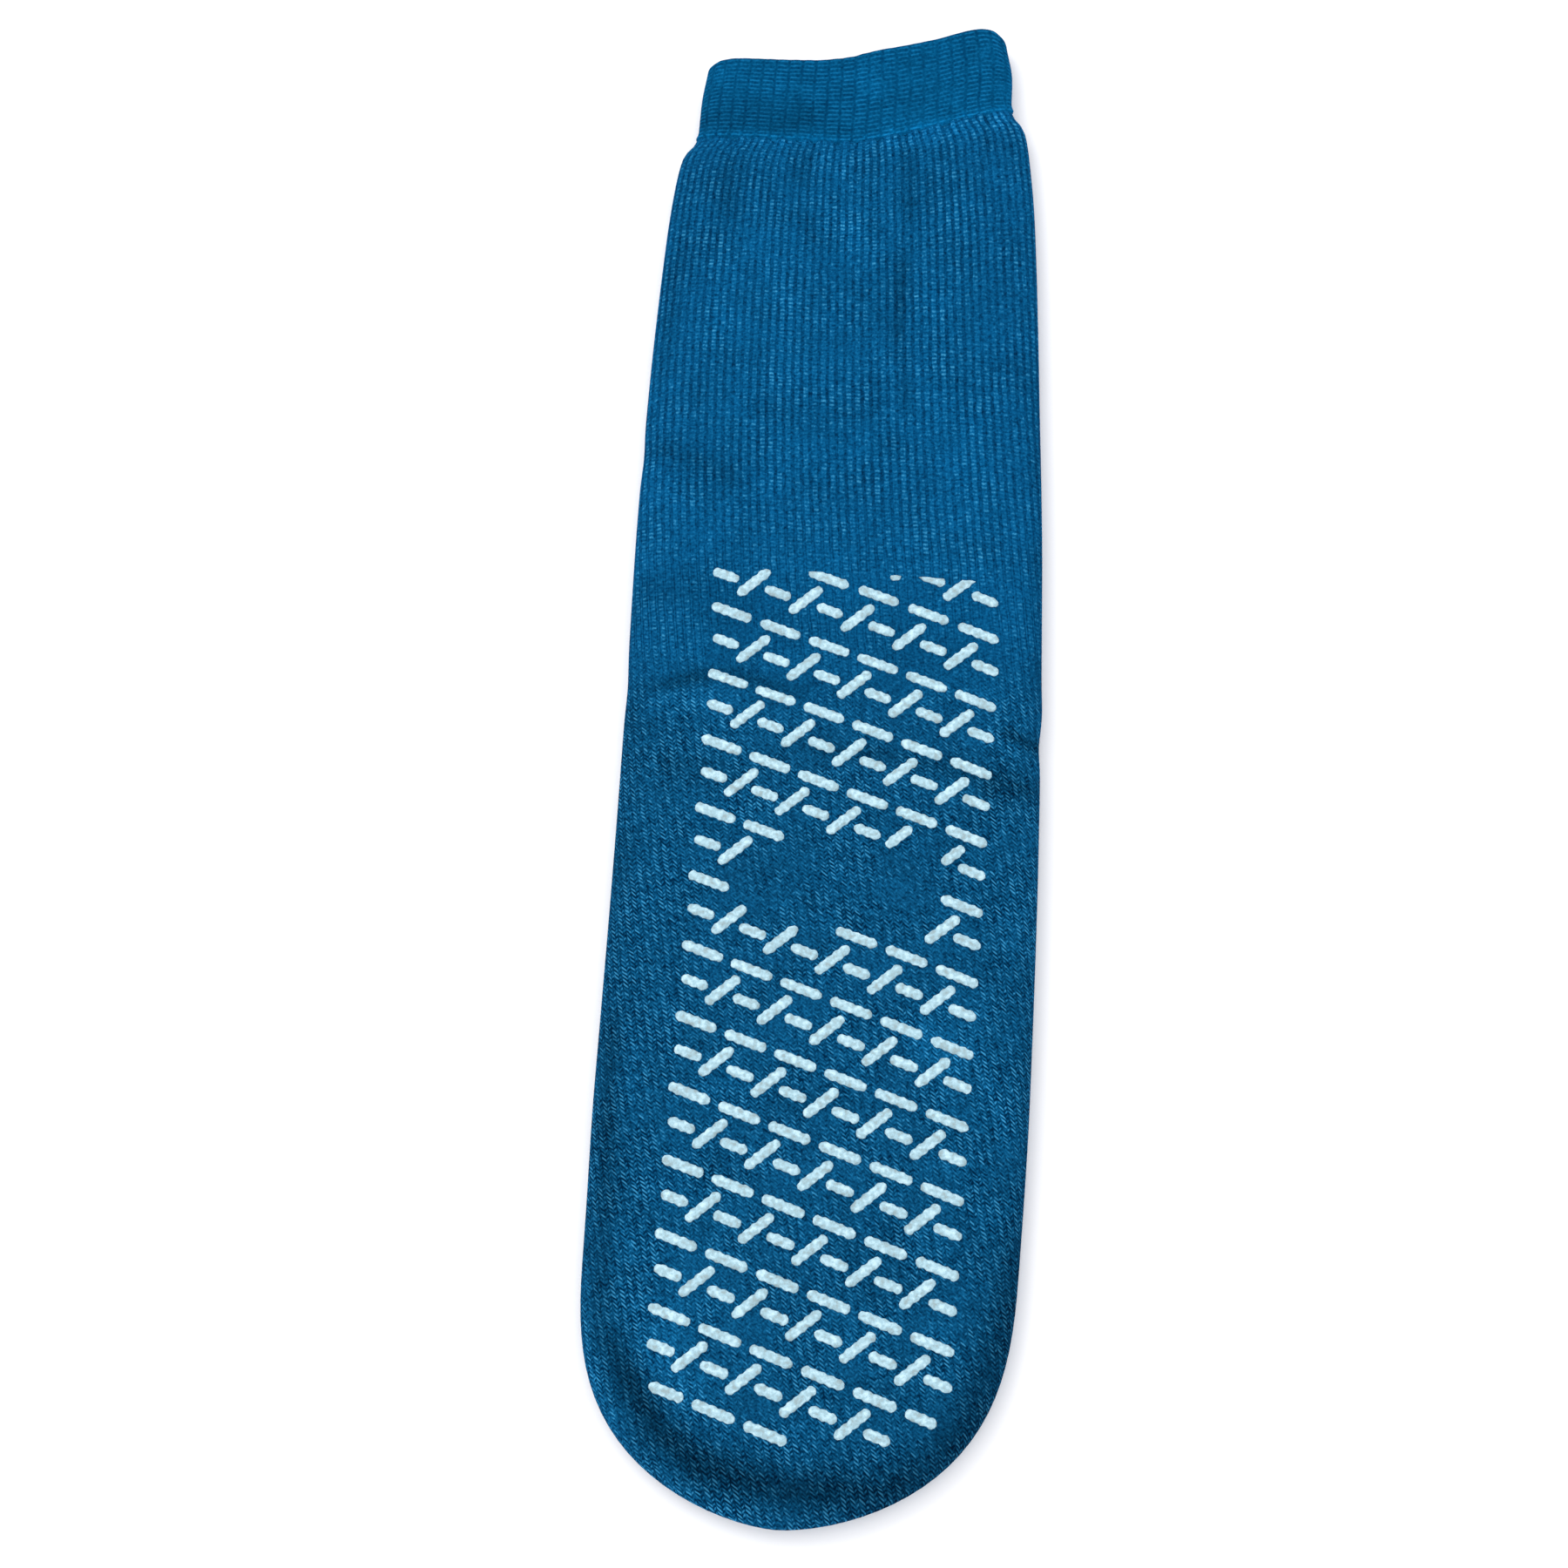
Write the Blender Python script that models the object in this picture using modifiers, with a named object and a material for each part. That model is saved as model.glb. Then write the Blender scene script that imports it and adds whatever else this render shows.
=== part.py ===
# Slipper sock: a knitted tube with a closed round toe, a rib cuff and a raised grip print.
# It lies flat and slack on its instep, with the gripped sole up.
# Lengths are in metres. +Y runs from the toe to the cuff, +Z is up, and the floor is at zero.
import math
from typing import NamedTuple

import bmesh
import bpy
from mathutils import Matrix, Vector

# The knitted tube, which is foot and leg in one
TUBE_LENGTH = 0.3760
BALL_WIDTH = 0.112
KNIT_WALL = 0.0020
LYING_HEIGHT = 0.0138
FOLD_LEVEL = 0.0050
SIDE_ROLL = 0.0070
LEG_LEAN = -0.0096

# The round toe, full at its sides and a little pointed at its tip, with a nose from the side
TOE_LENGTH = 0.074
TOE_SIDE_POWER = 3.36
TOE_TIP_POWER = 1.67
NOSE_REACH = 0.030
CHIN_REACH = 0.007

# The cuff, a doubled rib that draws the leg in
CUFF_HEIGHT = 0.0258
CUFF_WIDTH = 0.0883
CUFF_WALL = 0.0026
CUFF_ROUNDING = 0.0009
RIM_ANGLE = math.radians(60.0)
CUFF_LIFT = 0.0120
LIFT_POWER = 1.2
SIDE_RISE = 0.0024
SKEW_START = 0.78
CORNER_DROP = 0.0055
CORNER_POWER = 14.0
JOINT_GAP = 0.0003

# The grip print on the sole: rows of long dashes, and between them rows of short dashes and slashes
LUG_WIDTH = 0.0027
LUG_HEIGHT = 0.0008
LUG_ROOT = KNIT_WALL * 0.35
LUG_DRAFT = 0.86
LONG_DASH = 0.0106
SHORT_DASH = 0.0066
SLASH = 0.0100
SHORTEST_DASH = 0.0032
ROW_PITCH = 0.01855
DASH_PITCH = 0.01446
ROW_FALL = math.radians(-17.8)
SLASH_ANGLE = math.radians(42.0)
PRINT_MARGIN = 0.0080
PRINT_MIDDLE = 0.0057
PRINT_HALF_WIDTH = 0.0390
PRINT_TOE_END = 0.0200
PRINT_HEEL_END = 0.2473
PRINT_CORNER_RISE = 0.0119
PRINT_CORNER_POWER = 2.5
BARE_PATCH_MIDDLE = (0.0050, 0.1614)
BARE_PATCH_SIZE = (0.0499, 0.0222)

# How a section is drawn: shares of the half width, from the side fold to the middle
ACROSS = (1.0, 0.985, 0.945, 0.875, 0.76, 0.60, 0.40, 0.20, 0.0)
FOLD_POWER = 4.2
TIP_POWER = 2.4
TOE_RINGS = 9
TUBE_RINGS = 15
SHOULDER_START = 0.90
SHOULDER_RINGS = 6
CUFF_RINGS = 5
LUG_SIDES = 6
RUN_STEPS = 16


class Row(NamedTuple):
    """One section's place and form."""

    along: float  # share of the tube's length, or of the cuff's height past it
    gather: float  # 0 at the ball's width, 1 at the cuff's
    lean: float  # share of the leg's sideways lean
    swell: float  # share of the height that the sock lies at


TUBE_ROWS = (
    Row(along=0.000, gather=0.105, lean=0.00, swell=0.94),
    Row(along=0.160, gather=0.083, lean=-0.07, swell=0.98),
    Row(along=0.288, gather=0.010, lean=-0.01, swell=1.00),
    Row(along=0.415, gather=0.020, lean=0.08, swell=1.00),
    Row(along=0.543, gather=0.045, lean=0.23, swell=0.99),
    Row(along=0.670, gather=0.070, lean=0.44, swell=0.97),
    Row(along=0.797, gather=0.180, lean=0.66, swell=0.93),
    Row(along=0.917, gather=0.390, lean=0.86, swell=0.92),
    Row(along=0.964, gather=0.555, lean=0.95, swell=0.93),
    Row(along=0.985, gather=0.690, lean=0.98, swell=0.91),
)
CUFF_ROWS = (
    Row(along=0.000, gather=1.000, lean=1.00, swell=0.86),
    Row(along=0.500, gather=1.020, lean=1.02, swell=0.87),
    Row(along=1.000, gather=1.160, lean=1.09, swell=0.89),
)


class Dash(NamedTuple):
    """A row of like dashes."""

    first: tuple  # the first one's middle, in shares of the print's half width and of the row pitch
    step: float  # the way to the next, as a share of the dash pitch
    count: int
    length: float
    angle: float


DASH_ROWS = (
    Dash(first=(-0.767, 1.660), step=0.953, count=6, length=LONG_DASH, angle=ROW_FALL),
    Dash(first=(-0.800, 2.216), step=1.000, count=6, length=SHORT_DASH, angle=ROW_FALL),
    Dash(first=(-0.610, 2.124), step=0.999, count=5, length=SLASH, angle=SLASH_ANGLE),
)


def clear_scene():
    for obj in list(bpy.data.objects):
        bpy.data.objects.remove(obj, do_unlink=True)


def new_collection(name):
    group = bpy.data.collections.new(name)
    bpy.context.scene.collection.children.link(group)
    return group


def new_material(name, color, roughness):
    mat = bpy.data.materials.new(name)
    mat.use_nodes = True
    shader = mat.node_tree.nodes["Principled BSDF"]
    shader.inputs["Base Color"].default_value = (*color, 1.0)
    shader.inputs["Roughness"].default_value = roughness
    shader.inputs["Metallic"].default_value = 0.0
    return mat


def mix(start, end, share):
    return start + (end - start) * share


def ease(share):
    share = min(max(share, 0.0), 1.0)
    return share * share * (3.0 - 2.0 * share)


def quarter_round(share):
    """Rises like a quarter circle, from 0 at share 0 to 1 at share 1 and past it."""
    left = 1.0 - min(max(share, 0.0), 1.0)
    return math.sqrt(1.0 - left * left)


def section_knots():
    """The table's rows as real distances from the toe's tip."""
    tube = [(row.along * TUBE_LENGTH, row) for row in TUBE_ROWS]
    cuff = [(TUBE_LENGTH + row.along * CUFF_HEIGHT, row) for row in CUFF_ROWS]
    return tube + cuff


KNOTS = section_knots()


def column(name, at):
    """A column of the table at a distance from the tip, as a cubic that never overshoots its rows."""
    places = [place for place, _ in KNOTS]
    values = [getattr(row, name) for _, row in KNOTS]
    at = min(max(at, places[0]), places[-1])
    right = next(i for i in range(1, len(places)) if at <= places[i])
    slopes = [(values[i + 1] - values[i]) / (places[i + 1] - places[i]) for i in range(len(places) - 1)]

    def tangent(i):
        if i in (0, len(slopes)):
            return slopes[min(i, len(slopes) - 1)]
        before, after = slopes[i - 1], slopes[i]
        return 2.0 * before * after / (before + after) if before * after > 0.0 else 0.0

    left = right - 1
    span = places[right] - places[left]
    u = (at - places[left]) / span
    start_pull = tangent(left) * span * u * (1.0 - u) ** 2
    end_pull = tangent(right) * span * u * u * (1.0 - u)
    return mix(values[left], values[right], ease(u)) + start_pull - end_pull


def half_width(at):
    straight = mix(BALL_WIDTH, CUFF_WIDTH, column("gather", at)) / 2.0
    from_full = max(0.0, 1.0 - at / TOE_LENGTH)
    return straight * (1.0 - from_full**TOE_SIDE_POWER) ** (1.0 / TOE_TIP_POWER)


def middle_line(at):
    return LEG_LEAN * column("lean", at)


def height(at):
    return LYING_HEIGHT * column("swell", at)


def top_level(at, u):
    """Height of the upper face, u of the way from the middle to the side fold."""
    crown = mix(FOLD_LEVEL, height(at), quarter_round(at / NOSE_REACH))
    power = mix(TIP_POWER, FOLD_POWER, quarter_round(at / TOE_LENGTH))
    return mix(FOLD_LEVEL, crown, math.sqrt(max(0.0, 1.0 - abs(u) ** power)))


def under_level(at, u):
    """Height of the lower face, which lies on the floor up to where it rolls up into the side fold."""
    lowest = FOLD_LEVEL * (1.0 - quarter_round(at / CHIN_REACH))
    flat = max(0.0, 1.0 - SIDE_ROLL / half_width(at)) * quarter_round(at / NOSE_REACH)
    past_flat = max(0.0, (abs(u) - flat) / (1.0 - flat))
    return mix(FOLD_LEVEL, lowest, math.sqrt(1.0 - past_flat * past_flat))


def cuff_skew(at, u):
    """How far the slack top has slid up one side, and how its corners turn down."""
    in_leg = ease((at / TUBE_LENGTH - SKEW_START) / (1.0 - SKEW_START))
    lift = CUFF_LIFT * max(0.0, u) ** LIFT_POWER + SIDE_RISE * u * u
    in_cuff = ease((at - TUBE_LENGTH) / CUFF_HEIGHT)
    return lift * in_leg - CORNER_DROP * in_cuff * abs(u) ** CORNER_POWER


def ring_points(at):
    """A section's points, from the right fold over the top to the left fold and back underneath."""
    half = half_width(at)
    over = [*ACROSS, *(-u for u in reversed(ACROSS[:-1]))]
    under = [-u for u in over[1:-1]]
    points = [(u, top_level(at, u)) for u in over] + [(u, under_level(at, u)) for u in under]
    return [Vector((middle_line(at) + u * half, at + cuff_skew(at, u), z)) for u, z in points]


def loft(name, distances, tip=None):
    """An open skin through the sections at these distances, closed to a point where tip is given."""
    shape = bmesh.new()
    rings = [[shape.verts.new(point) for point in ring_points(at)] for at in distances]
    count = len(rings[0])
    for low, high in zip(rings, rings[1:]):
        for i in range(count):
            j = (i + 1) % count
            shape.faces.new((low[i], high[i], high[j], low[j]))
    if tip is not None:
        point = shape.verts.new(tip)
        for i in range(count):
            shape.faces.new((point, rings[0][i], rings[0][(i + 1) % count]))
    mesh = bpy.data.meshes.new(name)
    shape.to_mesh(mesh)
    shape.free()
    mesh.shade_smooth()
    return bpy.data.objects.new(name, mesh)


def add_wall(obj, thickness):
    wall = obj.modifiers.new("wall", "SOLIDIFY")
    wall.thickness = thickness
    wall.offset = -1.0
    wall.use_even_offset = True


def tube_distances():
    toe = [TOE_LENGTH * (1.0 - math.cos(math.pi / 2.0 * i / TOE_RINGS)) for i in range(1, TOE_RINGS + 1)]
    shoulder = SHOULDER_START * TUBE_LENGTH
    straight = [mix(TOE_LENGTH, shoulder, i / TUBE_RINGS) for i in range(1, TUBE_RINGS + 1)]
    gathered = [mix(shoulder, TUBE_LENGTH, i / SHOULDER_RINGS) for i in range(1, SHOULDER_RINGS + 1)]
    return toe + straight + gathered


def printable(x, y):
    """Whether the print covers this place: off the side folds, short of the toe and off the bare patch."""
    to_side = abs(x - PRINT_MIDDLE) / PRINT_HALF_WIDTH
    toe_limit = PRINT_TOE_END + PRINT_CORNER_RISE * to_side**PRINT_CORNER_POWER
    off_middle = abs(x - BARE_PATCH_MIDDLE[0]) > BARE_PATCH_SIZE[0] / 2.0
    off_along = abs(y - BARE_PATCH_MIDDLE[1]) > BARE_PATCH_SIZE[1] / 2.0
    on_sole = abs(x - middle_line(y)) < half_width(y) - PRINT_MARGIN
    return on_sole and toe_limit < y < PRINT_HEEL_END and (off_middle or off_along)


def printed_run(middle, length, angle):
    """The ends of the stretch of one dash that gets printed, or None where it is too short."""
    reach = Vector((math.cos(angle), math.sin(angle))) * length / 2.0
    shares = [2.0 * i / RUN_STEPS - 1.0 for i in range(RUN_STEPS + 1)]
    kept = [share for share in shares if printable(*(middle + reach * share))]
    if not kept or (kept[-1] - kept[0]) * length / 2.0 < SHORTEST_DASH:
        return None
    return middle + reach * kept[0], middle + reach * kept[-1]


def dash_runs():
    """Every printed dash, row after row from the toe to the heel."""
    rows = math.ceil(PRINT_HEEL_END / ROW_PITCH) + 1
    for row in DASH_ROWS:
        step = Vector((math.cos(ROW_FALL), math.sin(ROW_FALL))) * row.step * DASH_PITCH
        across, along = row.first
        for number in range(rows):
            start = Vector((across * PRINT_HALF_WIDTH, (along + number) * ROW_PITCH))
            for i in range(row.count):
                run = printed_run(start + step * i, row.length, row.angle)
                if run:
                    yield run


def add_lug(shape, start, end):
    """A six-sided dash with drafted sides, from below the knit's face to above it."""
    radius = LUG_WIDTH / 2.0
    lug = bmesh.ops.create_cone(
        shape,
        cap_ends=True,
        cap_tris=False,
        segments=LUG_SIDES,
        radius1=radius,
        radius2=radius * LUG_DRAFT,
        depth=1.0,
        matrix=Matrix.Rotation(math.pi / LUG_SIDES, 4, "Z"),
    )["verts"]
    run = end - start
    stretch = run.length / 2.0 - radius
    turn = Matrix.Rotation(math.atan2(run.y, run.x), 2)
    for vert in lug:
        flat = Vector((vert.co.x + math.copysign(stretch, vert.co.x), vert.co.y))
        place = turn @ flat + (start + end) / 2.0
        u = (place.x - middle_line(place.y)) / half_width(place.y)
        rise = LUG_HEIGHT if vert.co.z > 0.0 else -LUG_ROOT
        vert.co = (place.x, place.y, top_level(place.y, u) + rise)


def grip_print():
    shape = bmesh.new()
    for start, end in dash_runs():
        add_lug(shape, start, end)
    mesh = bpy.data.meshes.new("grip_print")
    shape.to_mesh(mesh)
    shape.free()
    return bpy.data.objects.new("grip_print", mesh)


def knitted_tube(collection, tools, knit, rubber):
    tip = (middle_line(0.0), 0.0, FOLD_LEVEL)
    obj = loft("knitted_tube", tube_distances(), tip)
    obj.data.materials.append(knit)
    collection.objects.link(obj)
    add_wall(obj, KNIT_WALL)
    lugs = grip_print()
    lugs.data.materials.append(rubber)
    lugs.hide_render = True
    lugs.display_type = "WIRE"
    tools.objects.link(lugs)
    join = obj.modifiers.new("grip_print", "BOOLEAN")
    join.operation = "UNION"
    join.solver = "EXACT"
    join.material_mode = "TRANSFER"
    join.object = lugs
    return obj, lugs


def rib_cuff(collection, rib):
    start = TUBE_LENGTH + JOINT_GAP
    distances = [start + CUFF_HEIGHT * i / (CUFF_RINGS - 1) for i in range(CUFF_RINGS)]
    obj = loft("rib_cuff", distances)
    obj.data.materials.append(rib)
    collection.objects.link(obj)
    add_wall(obj, CUFF_WALL)
    rounding = obj.modifiers.new("rounding", "BEVEL")
    rounding.width = CUFF_ROUNDING
    rounding.segments = 2
    rounding.limit_method = "ANGLE"
    rounding.angle_limit = RIM_ANGLE
    return obj


def set_on_origin(collection, objects, solids):
    """Hangs the objects on an empty, so that the solids stand centred over the origin."""
    bpy.context.view_layer.update()
    depsgraph = bpy.context.evaluated_depsgraph_get()
    corners = [Vector(c) for obj in solids for c in obj.evaluated_get(depsgraph).bound_box]
    low = Vector([min(c[i] for c in corners) for i in range(3)])
    high = Vector([max(c[i] for c in corners) for i in range(3)])
    stand = bpy.data.objects.new("slipper_sock_origin", None)
    stand.location = (-(low.x + high.x) / 2.0, -(low.y + high.y) / 2.0, -low.z)
    collection.objects.link(stand)
    for obj in objects:
        obj.parent = stand


def build():
    clear_scene()
    parts = new_collection("slipper_sock")
    tools = new_collection("cutters")
    knit = new_material("terry_knit", (0.006, 0.105, 0.235), 0.95)
    rib = new_material("rib_knit", (0.005, 0.095, 0.225), 0.92)
    rubber = new_material("soft_print", (0.46, 0.70, 0.80), 0.45)
    tube, lugs = knitted_tube(parts, tools, knit, rubber)
    cuff = rib_cuff(parts, rib)
    set_on_origin(parts, [tube, lugs, cuff], [tube, cuff])


build()
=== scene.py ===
"""Dresses a slipper sock: its terry knit tube, rib cuff and raised grip print, on a pale floor in soft light."""
import logging
import math
from dataclasses import dataclass
from enum import Enum

import bmesh
import bpy
import numpy as np
from bpy.types import Material, Mesh, Node, NodeSocket, NodeTree, Object
from mathutils import Matrix, Vector


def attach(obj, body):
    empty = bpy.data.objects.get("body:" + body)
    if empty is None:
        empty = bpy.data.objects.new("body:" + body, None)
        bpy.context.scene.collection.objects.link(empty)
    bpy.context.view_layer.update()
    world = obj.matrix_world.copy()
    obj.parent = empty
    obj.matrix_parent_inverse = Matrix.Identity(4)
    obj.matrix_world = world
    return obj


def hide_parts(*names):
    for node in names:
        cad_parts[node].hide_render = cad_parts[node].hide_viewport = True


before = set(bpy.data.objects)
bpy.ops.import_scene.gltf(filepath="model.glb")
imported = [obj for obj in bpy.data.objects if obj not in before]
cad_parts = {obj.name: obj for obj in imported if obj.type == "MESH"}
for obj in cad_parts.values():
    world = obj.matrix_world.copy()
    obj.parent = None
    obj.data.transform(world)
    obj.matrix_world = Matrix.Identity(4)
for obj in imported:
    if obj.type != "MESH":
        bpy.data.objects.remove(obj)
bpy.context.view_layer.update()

LOG = logging.getLogger("slipper_sock")
Array = np.ndarray
Pair = tuple[float, float]
Triple = tuple[float, float, float]
Table = tuple[tuple[float, ...], ...]
Inputs = dict[str | int, object]

MM_PER_METRE = 1000.0
FULL_TURN = 2.0 * math.pi
TINY = 1e-6            # keeps a division away from zero
WELD = 2e-6            # vertices of a seam lie closer than this, in metres


def mix(start: Array, end: Array, share: Array) -> Array:
    """The value a share of the way from start to end."""
    return start + (end - start) * share


def ease(share: Array) -> Array:
    """A soft step: 0 up to share 0, 1 from share 1 on, and smooth between them."""
    share = np.clip(share, 0.0, 1.0)
    return share * share * (3.0 - 2.0 * share)


def quarter_round(share: Array) -> Array:
    """Rises like a quarter circle, from 0 at share 0 to 1 at share 1 and past it."""
    left = 1.0 - np.clip(share, 0.0, 1.0)
    return np.sqrt(1.0 - left * left)


def linear(code: str) -> tuple[float, float, float, float]:
    """Turns an sRGB hex colour to linear light.

    Args:
        code: the colour as #rrggbb.

    Returns:
        Red, green and blue in linear light, with an alpha of 1.
    """
    parts = [int(code[i:i + 2], 16) / 255.0 for i in (1, 3, 5)]
    red, green, blue = [p / 12.92 if p <= 0.04045 else ((p + 0.055) / 1.055) ** 2.4 for p in parts]
    return red, green, blue, 1.0


def add_node(tree: NodeTree, kind: str, inputs: Inputs | None = None, **settings: object) -> Node:
    """Adds a shader node with its settings, and sets or links its inputs.

    Args:
        tree: the node tree that it goes into.
        kind: the end of the node's type name, after ShaderNode.
        inputs: by name or number a value, an output to link from, or a node whose first output is linked.
        settings: the node's own properties.

    Returns:
        The new node.
    """
    node = tree.nodes.new("ShaderNode" + kind)
    for name, value in settings.items():
        setattr(node, name, value)
    for key, value in (inputs or {}).items():
        if isinstance(value, Node):
            value = value.outputs[0]
        if isinstance(value, NodeSocket):
            tree.links.new(value, node.inputs[key])
        else:
            node.inputs[key].default_value = value
    return node


def set_ramp(node: Node, stops: tuple[tuple[float, str], ...]) -> Node:
    """Gives a colour ramp its stops.

    Args:
        node: the Color Ramp node.
        stops: each stop's place and sRGB hex colour, in order.

    Returns:
        The same node.
    """
    elements = node.color_ramp.elements
    while len(elements) < len(stops):
        elements.new(0.5)
    for element, (place, code) in zip(elements, stops):
        element.position = place
        element.color = linear(code)
    return node


def new_material(name: str) -> tuple[Material, NodeTree, NodeSocket]:
    """Starts a material.

    Args:
        name: the material's name.

    Returns:
        The material, its empty node tree and the piece's own coordinates in it.
    """
    material = bpy.data.materials.new(name)
    material.use_nodes = True
    tree = material.node_tree
    tree.nodes.clear()
    return material, tree, add_node(tree, "TexCoord").outputs["Object"]


def cover(tree: NodeTree, looks: Inputs, bump: Inputs, **settings: object) -> None:
    """Ends a material with its bump and its Principled surface.

    Args:
        tree: the material's nodes.
        looks: the surface's inputs, but for its normal.
        bump: the bump's inputs.
        settings: the bump's own properties.
    """
    relief = add_node(tree, "Bump", bump, **settings)
    surface = add_node(tree, "BsdfPrincipled", {**looks, "Normal": relief})
    add_node(tree, "OutputMaterial", {"Surface": surface})


def swaying_chart(tree: NodeTree, noise: Inputs, reach: Pair) -> tuple[NodeSocket, ...]:
    """Reads a piece's stitch numbers, with every yarn a little out of line.

    Args:
        tree: the material's nodes.
        noise: the inputs of the noise that the yarns stray by.
        reach: how far they stray, in wales and in courses.

    Returns:
        The number across the wales and the number along them, and a third that is always 0.
    """
    stray = add_node(tree, "TexNoise", noise).outputs["Color"]
    chart = add_node(tree, "UVMap", uv_map="knit")
    yarn = add_node(tree, "VectorMath", {0: stray, 1: (*reach, 0.0), 2: chart}, operation="MULTIPLY_ADD")
    return tuple(add_node(tree, "SeparateXYZ", {0: yarn}).outputs)


def soft_comb(tree: NodeTree, number: Node | NodeSocket, limits: Pair,
              heights: tuple[object, object] = (0.0, 1.0)) -> Node:
    """A soft step that comes back with every stitch, alike on both sides of a whole number.

    Args:
        tree: the material's nodes.
        number: the running number of the stitches.
        limits: how far from a whole number the step starts and ends, up to 0.5.
        heights: its heights there.

    Returns:
        The node with the step's height.
    """
    from_whole = add_node(tree, "Math", {0: number, 1: 0.5}, operation="PINGPONG")
    return add_node(tree, "MapRange", {"Value": from_whole, "From Min": limits[0], "From Max": limits[1],
                                       "To Min": heights[0], "To Max": heights[1]},
                    interpolation_type="SMOOTHSTEP")


def mottled_and_shaded(tree: NodeTree, dyed: NodeSocket, mottle: Inputs, limits: Pair,
              shades: Pair) -> Node:
    """Varies an even dye by a soft mottle, and by the painted light and shade that the piece carries.

    Args:
        tree: the material's nodes.
        dyed: the even colour.
        mottle: the inputs of the mottle's noise.
        limits: the noise's low and high end.
        shades: the factors on the colour there.

    Returns:
        The node with the colour.
    """
    noise = add_node(tree, "TexNoise", mottle)
    worn = add_node(tree, "MapRange", {"Value": noise, "From Min": limits[0], "From Max": limits[1],
                                       "To Min": shades[0], "To Max": shades[1]})
    # the painted light and shade, read from the piece's vertices
    tone = add_node(tree, "Attribute", attribute_name="tone").outputs["Fac"]
    shading = add_node(tree, "Math", {0: worn, 1: tone}, operation="MULTIPLY")
    return add_node(tree, "VectorMath", {0: dyed, 3: shading}, operation="SCALE")


class Side(Enum):
    """The two halves of a flat-lying tube."""

    OVER = "over"
    UNDER = "under"


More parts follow.
